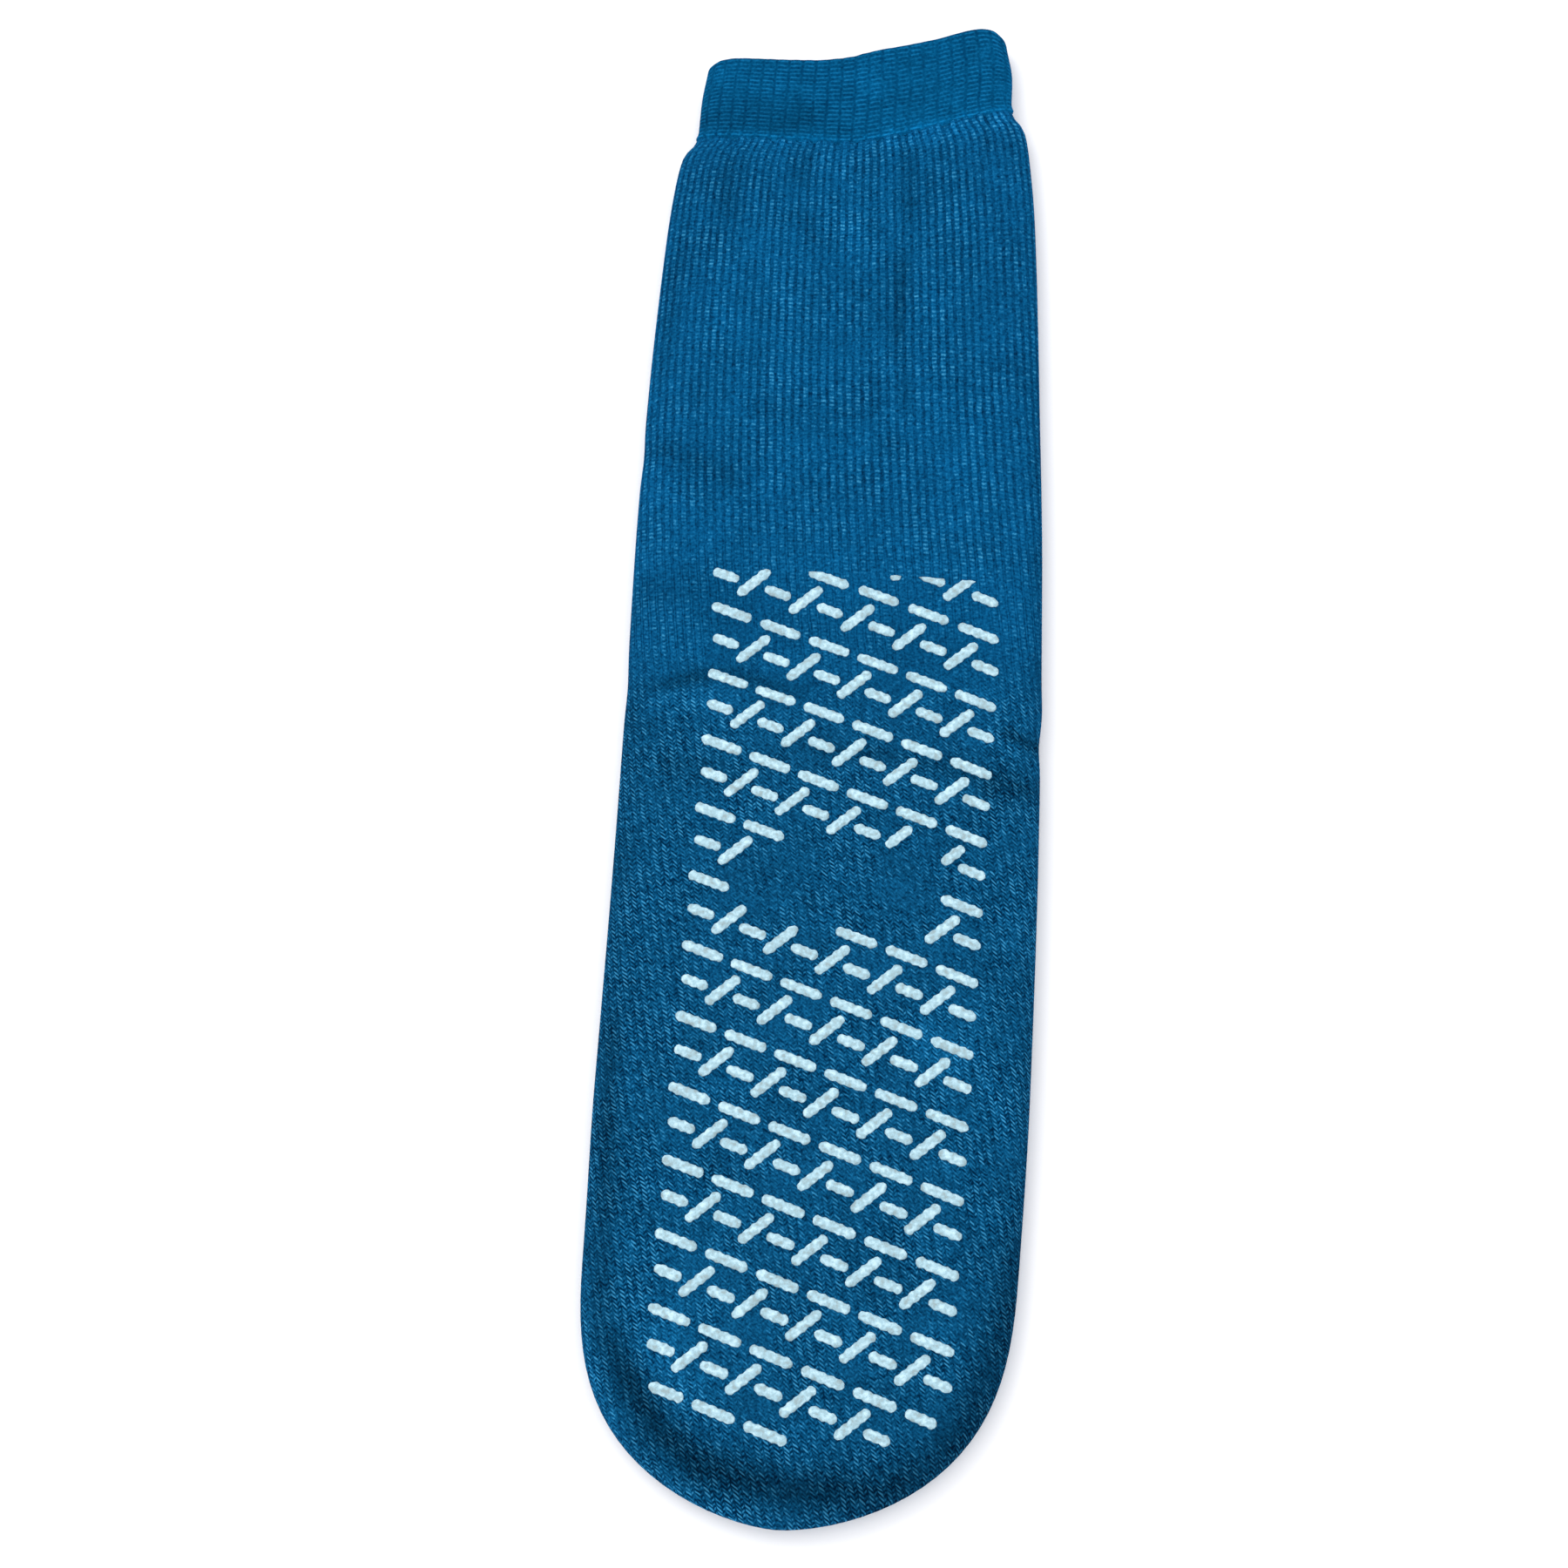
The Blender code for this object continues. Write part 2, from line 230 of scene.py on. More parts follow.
@dataclass(frozen=True)
class SockForm:
    """The flat-lying sock's own sizes in metres, the same that its CAD solids have."""

    tube_length: float = 0.3760
    ball_width: float = 0.112
    knit_wall: float = 0.0020
    lying_height: float = 0.0138
    fold_level: float = 0.0050
    side_roll: float = 0.0070
    leg_lean: float = -0.0096
    toe_length: float = 0.074
    toe_side_power: float = 3.36
    toe_tip_power: float = 1.67
    nose_reach: float = 0.030
    chin_reach: float = 0.007
    tip_power: float = 2.4
    fold_power: float = 4.2
    cuff_height: float = 0.0258
    cuff_width: float = 0.0883
    cuff_wall: float = 0.0026
    cuff_lift: float = 0.0120
    lift_power: float = 1.2
    side_rise: float = 0.0024
    skew_start: float = 0.78
    corner_drop: float = 0.0055
    corner_power: float = 14.0
    joint_gap: float = 0.0003
    wales_round: int = 96
    course_pitch: float = 0.0011
    origin_x: float = 0.0021
    origin_y: float = -0.20664
    # share of the length, gather towards the cuff's width, sideways lean, share of the lying height
    tube_knots: Table = (
        (0.000, 0.105, 0.00, 0.94),
        (0.160, 0.083, -0.07, 0.98),
        (0.288, 0.010, -0.01, 1.00),
        (0.415, 0.020, 0.08, 1.00),
        (0.543, 0.045, 0.23, 0.99),
        (0.670, 0.070, 0.44, 0.97),
        (0.797, 0.180, 0.66, 0.93),
        (0.917, 0.390, 0.86, 0.92),
        (0.964, 0.555, 0.95, 0.93),
        (0.985, 0.690, 0.98, 0.91),
    )
    cuff_knots: Table = (
        (0.0, 1.00, 1.00, 0.86),
        (0.5, 1.02, 1.02, 0.87),
        (1.0, 1.16, 1.09, 0.89),
    )
    # distance from the toe and the wales' slant there in degrees: a single yarn knit turns as it relaxes
    slant_knots: Table = (
        (0.000, 14.0), (0.060, 13.0), (0.100, 12.0), (0.200, 9.0), (0.250, 5.0), (0.300, 2.0), (0.376, 0.0),
    )

    def knots(self) -> Array:
        """Lists the measured sections.

        Returns:
            A row for each, with its real distance from the toe's tip in the first column.
        """
        tube = [(row[0] * self.tube_length, *row[1:]) for row in self.tube_knots]
        cuff = [(self.tube_length + row[0] * self.cuff_height, *row[1:]) for row in self.cuff_knots]
        return np.array(tube + cuff)

    def column(self, which: int, at: Array) -> Array:
        """Reads a column of the knots as a cubic that never overshoots its rows.

        Args:
            which: the column's number.
            at: distances from the toe's tip.

        Returns:
            The column's values there.
        """
        places, values = self.knots()[:, 0], self.knots()[:, which]
        at = np.clip(at, places[0], places[-1])
        right = np.clip(np.searchsorted(places, at), 1, len(places) - 1)
        left = right - 1
        slopes = np.diff(values) / np.diff(places)
        before, after = slopes[:-1], slopes[1:]
        agree = before * after > 0.0
        inner = np.where(agree, 2.0 * before * after / np.where(agree, before + after, 1.0), 0.0)
        pulls = np.concatenate([slopes[:1], inner, slopes[-1:]])
        span = places[right] - places[left]
        share = (at - places[left]) / span
        start_pull = pulls[left] * span * share * (1.0 - share) ** 2
        end_pull = pulls[right] * span * share * share * (1.0 - share)
        return mix(values[left], values[right], ease(share)) + start_pull - end_pull

    def toe_factor(self, at: Array) -> Array:
        """The share of its full width that the rounded toe has at a distance from the tip."""
        rest = np.maximum(0.0, 1.0 - at / self.toe_length)
        return (1.0 - rest ** self.toe_side_power) ** (1.0 / self.toe_tip_power)

    def half_width(self, at: Array) -> Array:
        """Half the flat width at a distance from the tip."""
        return mix(self.ball_width, self.cuff_width, self.column(1, at)) / 2.0 * self.toe_factor(at)

    def middle_line(self, at: Array) -> Array:
        """The middle's sideways place at a distance from the tip."""
        return self.leg_lean * self.column(2, at)

    def level(self, at: Array, u: Array, side: Side) -> Array:
        """The height of the skin over the floor.

        Args:
            at: distances from the toe's tip.
            u: places across, from -1 at the left fold to 1 at the right one.
            side: the upper or the lower half.

        Returns:
            The heights.
        """
        if side is Side.OVER:
            full = self.lying_height * self.column(3, at)
            crown = mix(self.fold_level, full, quarter_round(at / self.nose_reach))
            power = mix(self.tip_power, self.fold_power, quarter_round(at / self.toe_length))
            return mix(self.fold_level, crown, np.sqrt(np.maximum(0.0, 1.0 - np.abs(u) ** power)))
        lowest = self.fold_level * (1.0 - quarter_round(at / self.chin_reach))
        half = np.maximum(self.half_width(at), TINY)
        flat = np.maximum(0.0, 1.0 - self.side_roll / half) * quarter_round(at / self.nose_reach)
        past = np.maximum(0.0, (np.abs(u) - flat) / (1.0 - flat))
        return mix(self.fold_level, lowest, np.sqrt(np.maximum(0.0, 1.0 - past * past)))

    def skin(self, at: Array, u: Array, over: Array) -> Array:
        """The height of the skin at each point, on the upper half where over is true and else on the lower."""
        return np.where(over, self.level(at, u, Side.OVER), self.level(at, u, Side.UNDER))

    def skew(self, at: Array, u: Array) -> Array:
        """How far the slanting cuff end carries a point along the leg.

        Args:
            at: distances from the toe's tip.
            u: places across, from -1 to 1.

        Returns:
            The moves in metres.
        """
        in_leg = ease((at / self.tube_length - self.skew_start) / (1.0 - self.skew_start))
        lift = self.cuff_lift * np.maximum(0.0, u) ** self.lift_power + self.side_rise * u * u
        in_cuff = ease((at - self.tube_length) / self.cuff_height)
        return lift * in_leg - self.corner_drop * in_cuff * np.abs(u) ** self.corner_power

    def slant_turns(self, at: Array) -> Array:
        """How far the spiral of the knit has moved sideways, counted from the cuff.

        Args:
            at: distances from the toe's tip.

        Returns:
            The moves in wales.
        """
        fine = np.linspace(0.0, self.tube_length + self.cuff_height, 600)
        places, angles = np.array(self.slant_knots).T
        pitch = 2.0 * self.ball_width / self.wales_round
        drift = np.tan(np.radians(np.interp(fine, places, angles))) / pitch
        turns = np.concatenate([[0.0], np.cumsum((drift[1:] + drift[:-1]) / 2.0 * np.diff(fine))])
        return turns[-1] - np.interp(at, fine, turns)

    def across(self, turn: Array, at: float) -> tuple[Array, Array]:
        """Spreads columns evenly over the girth of one section.

        Args:
            turn: places round the tube from 0 to 1, from the middle of the underside by the right fold.
            at: the section's distance from the tip.

        Returns:
            Each column's place across from -1 to 1, and whether it is on the upper half.
        """
        u = np.linspace(-1.0, 1.0, 4001)
        girth = []
        for side in (Side.OVER, Side.UNDER):
            x, z = u * self.half_width(np.array(at)), self.level(np.array(at), u, side)
            steps = np.hypot(np.diff(x), np.diff(z))
            length = np.concatenate([[0.0], np.cumsum(steps)])
            girth.append(length / length[-1])
        over = (turn >= 0.25) & (turn <= 0.75)
        on_top = np.interp((0.75 - turn) * 2.0, girth[0], u)
        below = np.where(turn < 0.5, turn, turn - 1.0)
        return np.where(over, on_top, np.interp((below + 0.25) * 2.0, girth[1], u)), over


@dataclass(frozen=True)
class SoftFold:
    """A soft trough or ridge in the cloth, given in the sock's own millimetres."""

    points: Table    # (from the middle, from the toe's tip)
    width: float     # half of its soft width
    depth: float     # below 0 a trough, above 0 a ridge
    tone: float      # painted shade along a trough and painted light along a ridge: how much darker or lighter the colour is made


@dataclass(frozen=True)
class ClothRelief:
    """The soft creases, ridges and gathers of the slack upper half, with the painted shade and light that go with them.
    """

    form: SockForm
    cuff_half: float = 0.046
    gather_height: float = 0.00032
    gather_reach: float = 0.013
    # painted light and shade that follow the gathers' waves
    gather_shading: float = 0.045
    # the gathers' waves: size, rate over a metre across, and start
    gather_waves: Table = ((1.0, 1050.0, 0.0), (0.7, 1710.0, 1.3), (0.5, 640.0, 0.4))
    slack_height: float = 0.00022
    # a painted highlight along the ridge just below the cuff, from the left to the right
    welt_highlights: Pair = (0.18, 0.25)
    welt_reach: float = 0.0022
    # the deepest painted shade, as a factor on the colour
    deepest_shade: float = 0.3
    folds: tuple[SoftFold, ...] = (
        # the roll of the toe: a deep soft trough along the round end, with painted shade in it and along the right
        # side, which turns away from the light, and painted light on the rim outside it
        SoftFold(((-47, 46), (-42, 40), (-36.5, 31), (-30, 22), (-21, 14.5), (-9, 11), (1, 9.5), (13, 10), (26, 12)),
                 5.2, -0.80, -0.60),
        SoftFold(((58, 84), (57, 66), (53.5, 46), (46.5, 30), (38.5, 18), (28, 10), (20, 5)), 6.8, -0.45, -0.50),
        SoftFold(((-55, 52), (-51, 36), (-43, 19), (-31, 8), (-16, 2), (-2, 0)), 3.0, 0.35, 0.30),
        SoftFold(((-38, 46), (-30, 34), (-20, 27)), 8.0, 0.35, 0.24),
        SoftFold(((22, 26), (34, 34)), 8.0, -0.20, -0.10),
        SoftFold(((-32, 70), (-29, 46), (-20, 30)), 13.0, 0.10, 0.12),
        SoftFold(((-47, 44), (-38, 32), (-30, 22)), 4.0, -0.20, -0.14),
        # painted shade: the dark strip beside the left fold, and the shade along the right one
        SoftFold(((-52, 128), (-51.5, 106), (-50.5, 90)), 3.0, -0.40, -0.38),
        SoftFold(((-50, 94), (-48.5, 70), (-48, 46)), 3.6, -0.30, -0.30),
        SoftFold(((-57, 240), (-55, 180), (-54, 130)), 4.5, -0.10, -0.14),
        SoftFold(((-44, 376), (-50, 330)), 9.0, -0.10, -0.07),
        SoftFold(((55, 140), (56.5, 105), (58, 74)), 3.0, -0.20, -0.20),
        SoftFold(((47, 316), (49.5, 270), (51.5, 240), (53.5, 205)), 3.2, -0.20, -0.16),
        # creases of the foot, with painted shade in their troughs and painted light on their ridges
        SoftFold(((26, 124), (34, 121), (42, 117)), 4.8, 0.35, 0.26),
        SoftFold(((44, 114), (49, 106), (51, 100)), 1.8, 0.25, 0.18),
        SoftFold(((-10, 130), (20, 128)), 16.0, 0.10, 0.05),
        SoftFold(((30, 128), (42, 104)), 11.0, 0.10, 0.10),
        SoftFold(((10, 74), (28, 66), (44, 58)), 6.0, -0.20, -0.08),
        SoftFold(((-52, 193), (-35, 191), (-15, 188)), 3.5, -0.25, -0.14),
        SoftFold(((-10, 199), (4, 197.5), (16, 197), (28, 195.5), (38, 193.5), (50, 193)), 2.0, -0.45, -0.32),
        SoftFold(((38, 190), (48, 191), (57, 192)), 3.4, -0.40, -0.32),
        SoftFold(((34, 205), (42, 202.5), (48, 201)), 2.2, 0.50, 0.22),
        SoftFold(((43, 206.5), (50, 204), (58, 203)), 1.9, -0.55, -0.50),
        SoftFold(((-52, 213), (-44, 215), (-38, 217), (-31, 218), (-24, 216.5), (-17, 214), (-11, 212)),
                 2.1, -0.75, -0.46),
        SoftFold(((-43, 208), (-32, 209), (-22, 207)), 3.4, 0.40, 0.10),
        SoftFold(((-58, 242), (-45, 243), (-32, 240), (-20, 238)), 6.0, -0.30, -0.18),
        SoftFold(((-48, 231), (0, 229), (48, 227)), 9.0, -0.15, -0.12),
        # creases of the leg, with painted shade in their troughs and painted light on their ridges
        SoftFold(((-58, 284), (-48, 280), (-40, 277), (-32, 273)), 3.2, -0.50, -0.27),
        SoftFold(((-56, 270), (-50, 266), (-46, 258)), 3.2, 0.30, 0.12),
        SoftFold(((28, 302), (32, 262)), 12.0, 0.20, 0.10),
        SoftFold(((-34, 342), (-28, 312)), 14.0, 0.10, 0.08),
        SoftFold(((6.5, 376), (8.5, 362), (9, 351)), 2.2, -0.50, -0.25),
        SoftFold(((13, 370), (14, 352)), 1.8, -0.30, -0.18),
        SoftFold(((7.5, 342), (8, 328), (8, 315)), 2.0, -0.50, -0.32),
        SoftFold(((10, 314), (11, 305), (12, 296)), 2.0, -0.35, -0.20),
        SoftFold(((-45, 368), (-43, 357), (-38, 350)), 4.6, -0.35, -0.18),
        SoftFold(((-12, 374), (-10, 360)), 4.0, 0.40, 0.17),
        SoftFold(((-5, 351), (-8, 343)), 4.0, 0.35, 0.16),
        SoftFold(((-36, 343), (-26, 346)), 4.2, 0.30, 0.13),
        SoftFold(((-23, 356), (-17, 345)), 2.4, -0.40, -0.18),
        SoftFold(((-20, 371), (-24, 362)), 2.6, -0.40, -0.16),
        SoftFold(((-54, 352), (-56, 322), (-57, 300)), 2.2, -0.30, -0.14),
        SoftFold(((-52, 367), (-44, 366)), 2.0, 0.40, 0.10),
        SoftFold(((43, 378), (46, 350), (47, 322)), 3.2, -0.20, -0.15),
    )

    def lift(self, x: Array, y: Array) -> tuple[Array, Array]:
        """How far the relief lifts the cloth, and the painted shade and light that go with it.

        Args:
            x: places from the middle, in metres.
            y: places from the toe's tip, in metres.

        Returns:
            The lift in metres, and the painted shade and light that multiply the colour.
        """
        height, tone = np.zeros_like(x), np.ones_like(x)
        for fold in self.folds:
            near = self.falloff(fold, x * MM_PER_METRE, y * MM_PER_METRE)
            height += fold.depth / MM_PER_METRE * near
            tone += fold.tone * near
        length = self.form.tube_length
        under_cuff = np.maximum(0.0, length + self.form.skew(np.full_like(x, length), x / self.cuff_half) - y)
        waves = sum(size * np.sin(x * rate + start) for size, rate, start in self.gather_waves)
        gathers = waves * np.exp(-under_cuff / self.gather_reach)
        slack = np.sin(x * 120.0 + y * 35.0) * np.sin(y * 88.0 + 1.1) + np.sin(x * 61.0 - y * 150.0 + 2.0)
        # the painted highlight on the ridge just below the cuff, and the painted light and shade of the gathers
        welt = mix(*self.welt_highlights, ease((x + 0.010) / 0.030)) * np.exp(-((under_cuff / self.welt_reach) ** 2))
        height = height + self.gather_height * gathers + self.slack_height * slack
        tone = tone + self.gather_shading * gathers + welt * (1.0 + 0.25 * waves)
        return height, np.maximum(tone, self.deepest_shade)

    @staticmethod
    def inwards(u: Array) -> Array:
        """The share of the lift that a point across has: all of it in the middle, and none at the folds."""
        return 1.0 - np.abs(u) ** 6

    @staticmethod
    def falloff(fold: SoftFold, x: Array, y: Array) -> Array:
        """How near each point is to a fold's line, from 0 far off to 1 on it, fading towards its ends.

        Args:
            fold: the trough or ridge.
            x: places from the middle, in millimetres.
            y: places from the toe's tip, in millimetres.

        Returns:
            The nearness of each point.
        """
        line = np.array(fold.points, dtype=float)
        lengths = np.hypot(*np.diff(line, axis=0).T)
        starts = np.concatenate([[0.0], np.cumsum(lengths)])
        best, along = np.full(x.shape, np.inf), np.zeros(x.shape)
        for i, length in enumerate(lengths):
            step = (line[i + 1] - line[i]) / length
            share = np.clip((x - line[i, 0]) * step[0] + (y - line[i, 1]) * step[1], 0.0, length)
            gap = np.hypot(x - line[i, 0] - share * step[0], y - line[i, 1] - share * step[1])
            along = np.where(gap < best, starts[i] + share, along)
            best = np.minimum(gap, best)
        ends = ease(np.minimum(along, starts[-1] - along) / (0.3 * starts[-1]) + 0.35)
        return np.exp(-((best / fold.width) ** 2)) * ends


@dataclass(frozen=True)
class TerryKnit:
    """Acrylic terry knit, piece-dyed teal: matt, with dotted wales on the leg and slanting stitch legs on the foot."""

    leg_colors: tuple[str, ...] = ("#002342", "#044670", "#0a5a88", "#3d90b8")
    foot_colors: tuple[str, ...] = ("#00203c", "#074469", "#0f5a85", "#3585b0")
    color_stops: tuple[float, ...] = (0.06, 0.38, 0.62, 1.0)
    yarn_height: float = 0.00016
    stray_scale: float = 190.0
    stray: Pair = (0.30, 0.9)             # how far a yarn strays, in wales and in courses
    fuzz_scale: float = 1350.0            # a tuft of yarn every 0.7 mm
    fuzz_share: float = 1.2
    wear_scale: float = 70.0              # the stitches blur over some 15 mm
    wear_limits: Pair = (0.34, 0.70)
    stitch_shares: Pair = (0.50, 1.30)    # what is left of a stitch where worn, and where crisp
    drawn_crispness: float = 0.02
    pressed_share: float = -0.25
    base: float = -0.195                  # brings the yarn's mean to the middle of the dyes
    mottle_scale: float = 85.0            # dye and wear vary over some 12 mm
    mottle_shades: Pair = (0.80, 1.20)
    roughness: float = 0.95
    gloss: float = 0.01
    line_tone: float = 0.12               # the leg's line at the ankle,
    closing_shade: float = -0.24           # what the cuff's pull takes from it, as painted shade in the closed gap,
    hollow_shade: float = -0.13            # and the painted shade in the hollow beside it
    dot_tones: Pair = (0.15, 0.36)        # between the dots, and on them
    dot_spread: float = 0.55
    hair_scale: float = 1.1
    hair_base: float = -0.70
    leg_shadow: float = -0.04             # between the foot's stitch legs
    leg_spread: float = 1.0
    # the two legs of a stitch: courses that each crosses over a wale, its middle and half width, and its light
    stitch_legs: Table = ((1.7, 0.38, 0.36, 0.64), (-1.7, 0.86, 0.20, 0.40))

    def material(self) -> Material:
        """Makes the finish, charted on the piece's own wale and course numbers.

        Returns:
            The material.
        """
        material, tree, place = new_material("dyed_acrylic_terry_knit")
        stray = {"Vector": place, "Scale": self.stray_scale, "Detail": 1.0}
        wale, course, _ = swaying_chart(tree, stray, self.stray)
        drawn, leg, printed = (add_node(tree, "Attribute", attribute_name=name).outputs["Fac"]
                               for name in ("drawn", "ribbed", "printed"))
        fuzz, wear = (add_node(tree, "TexNoise", {"Vector": place, "Scale": scale, "Detail": 3.0, "Roughness": 0.6})
                      for scale in (self.fuzz_scale, self.wear_scale))
        crisp = add_node(tree, "Math", {0: drawn, 1: self.drawn_crispness, 2: wear}, operation="MULTIPLY_ADD")
        present = add_node(tree, "MapRange", {"Value": crisp, "From Min": self.wear_limits[0],
                                              "From Max": self.wear_limits[1],
                                              "To Min": self.stitch_shares[0], "To Max": self.stitch_shares[1]})
        pattern = add_node(tree, "Mix", {"Factor": leg, "A": self.stitched(tree, wale, course),
                                         "B": self.ribbed(tree, wale, course, drawn)})
        # where the print was pressed on, the stitches are flatter
        flat = add_node(tree, "Math", {0: printed, 1: self.pressed_share, 2: present}, operation="MULTIPLY_ADD")
        knitted = add_node(tree, "Math", {0: pattern, 1: flat, 2: self.base}, operation="MULTIPLY_ADD")
        height = add_node(tree, "Math", {0: fuzz, 1: self.fuzz_share, 2: knitted}, operation="MULTIPLY_ADD")
        foot_dye, leg_dye = (set_ramp(add_node(tree, "ValToRGB", {"Fac": height}), tuple(zip(self.color_stops, colors)))
                             for colors in (self.foot_colors, self.leg_colors))
        dyed = add_node(tree, "Mix", {"Factor": leg, "A": foot_dye, "B": leg_dye}, data_type="RGBA")
        mottle = {"Vector": place, "Scale": self.mottle_scale, "Detail": 5.0, "Roughness": 0.7}
        color = mottled_and_shaded(tree, dyed.outputs["Result"], mottle, (0.25, 0.75), self.mottle_shades)
        cover(tree, {"Base Color": color, "Roughness": self.roughness, "Specular IOR Level": self.gloss},
              {"Height": height, "Distance": self.yarn_height, "Strength": 1.0})
        return material

    @staticmethod
    def liveliness(tree: NodeTree, wale: NodeSocket, row: Node | NodeSocket, spread: float) -> Node:
        """A number round 1 that differs from stitch to stitch.

        Args:
            tree: the material's nodes.
            wale: the wale number.
            row: the number of the stitch along its wale.
            spread: how far the lowest and the highest number lie apart.

        Returns:
            The node with the number.
        """
        whole, each = (add_node(tree, "Math", {0: number}, operation="FLOOR") for number in (wale, row))
        stitch = add_node(tree, "CombineXYZ", {"X": whole, "Y": each})
        luck = add_node(tree, "TexWhiteNoise", {"Vector": stitch}, noise_dimensions="2D")
        return add_node(tree, "Math", {0: luck, 1: spread, 2: 1.0 - spread / 2.0}, operation="MULTIPLY_ADD")

    def ribbed(self, tree: NodeTree, wale: NodeSocket, course: NodeSocket, drawn: NodeSocket) -> Node:
        """The leg's stretch knit: a column of dots in every wale, a course apart, and a line between the columns.

        Args:
            tree: the material's nodes.
            wale: the wale number.
            course: the course number.
            drawn: 0 at the ankle, and 1 on the leg, which the cuff draws together.

        Returns:
            The node with how much lighter or darker the yarn is.
        """
        # the line is light at the ankle, and on the leg it closes to a gap of painted shade
        between = add_node(tree, "Math", {0: drawn, 1: self.closing_shade, 2: self.line_tone}, operation="MULTIPLY_ADD")
        line = soft_comb(tree, wale, (0.03, 0.13), (between, self.hollow_shade))
        column = soft_comb(tree, wale, (0.13, 0.31))
        dot = soft_comb(tree, course, (0.08, 0.42), self.dot_tones)
        shaped = add_node(tree, "Math", {0: dot, 1: column}, operation="MULTIPLY")
        lively = self.liveliness(tree, wale, course, self.dot_spread)
        return add_node(tree, "Math", {0: shaped, 1: lively, 2: line}, operation="MULTIPLY_ADD")

    def stitched(self, tree: NodeTree, wale: NodeSocket, course: NodeSocket) -> Node:
        """The foot's plain knit: columns of V stitches, whose left legs catch the light as short slanting strokes.

        Args:
            tree: the material's nodes.
            wale: the wale number.
            course: the course number.

        Returns:
            The node with how much lighter or darker the yarn is.
        """
        share = add_node(tree, "Math", {0: wale}, operation="FRACT")
        # loose hairs of the yarn lie along the stitch legs
        slope = add_node(tree, "Math", {0: wale, 1: self.stitch_legs[0][0], 2: course}, operation="MULTIPLY_ADD")
        along = add_node(tree, "CombineXYZ", {"X": slope, "Y": wale})
        hairs = add_node(tree, "TexNoise", {"Vector": along, "Scale": self.hair_scale, "Detail": 1.0})
        total = add_node(tree, "Math", {0: hairs, 1: self.hair_base}, operation="ADD")
        for slope, middle, half, light in self.stitch_legs:
            phase = add_node(tree, "Math", {0: share, 1: slope, 2: course}, operation="MULTIPLY_ADD")
            strand = soft_comb(tree, phase, (0.08, 0.44), (self.leg_shadow, light))
            off = add_node(tree, "Math", {0: share, 1: middle}, operation="SUBTRACT")
            away = add_node(tree, "Math", {0: off}, operation="ABSOLUTE")
            window = add_node(tree, "MapRange", {"Value": away, "From Min": half * 0.40, "From Max": half,
                                                 "To Min": 1.0, "To Max": 0.0}, interpolation_type="SMOOTHSTEP")
            leg = add_node(tree, "Math", {0: strand, 1: window}, operation="MULTIPLY")
            lively = self.liveliness(tree, wale, phase, self.leg_spread)
            total = add_node(tree, "Math", {0: leg, 1: lively, 2: total}, operation="MULTIPLY_ADD")
        return total


@dataclass(frozen=True)
class TerryLoops:
    """The sock's inside: the same yarn in short open loops, which the eye reads as a deep, dull pile."""

    shadow: str = "#02304f"
    light: str = "#1b6694"
    loop_scale: float = 620.0      # a loop every 1.6 mm
    loop_height: float = 0.0007
    fuzz_scale: float = 1800.0
    fuzz_share: float = 0.35
    roughness: float = 1.0
    gloss: float = 0.1

    def material(self) -> Material:
        """Makes the finish, darker between its loops.

        Returns:
            The material.
        """
        material, tree, place = new_material("acrylic_terry_loops")
        loops = add_node(tree, "TexVoronoi", {"Vector": place, "Scale": self.loop_scale}, feature="SMOOTH_F1")
        fuzz = add_node(tree, "TexNoise", {"Vector": place, "Scale": self.fuzz_scale, "Detail": 3.0})
        pile = add_node(tree, "Math", {0: fuzz, 1: self.fuzz_share, 2: loops}, operation="MULTIPLY_ADD")
        color = set_ramp(add_node(tree, "ValToRGB", {"Fac": pile}), ((0.15, self.light), (0.85, self.shadow)))
        cover(tree, {"Base Color": color, "Roughness": self.roughness, "Specular IOR Level": self.gloss},
              {"Height": pile, "Distance": self.loop_height, "Strength": 1.0}, invert=True)
        return material


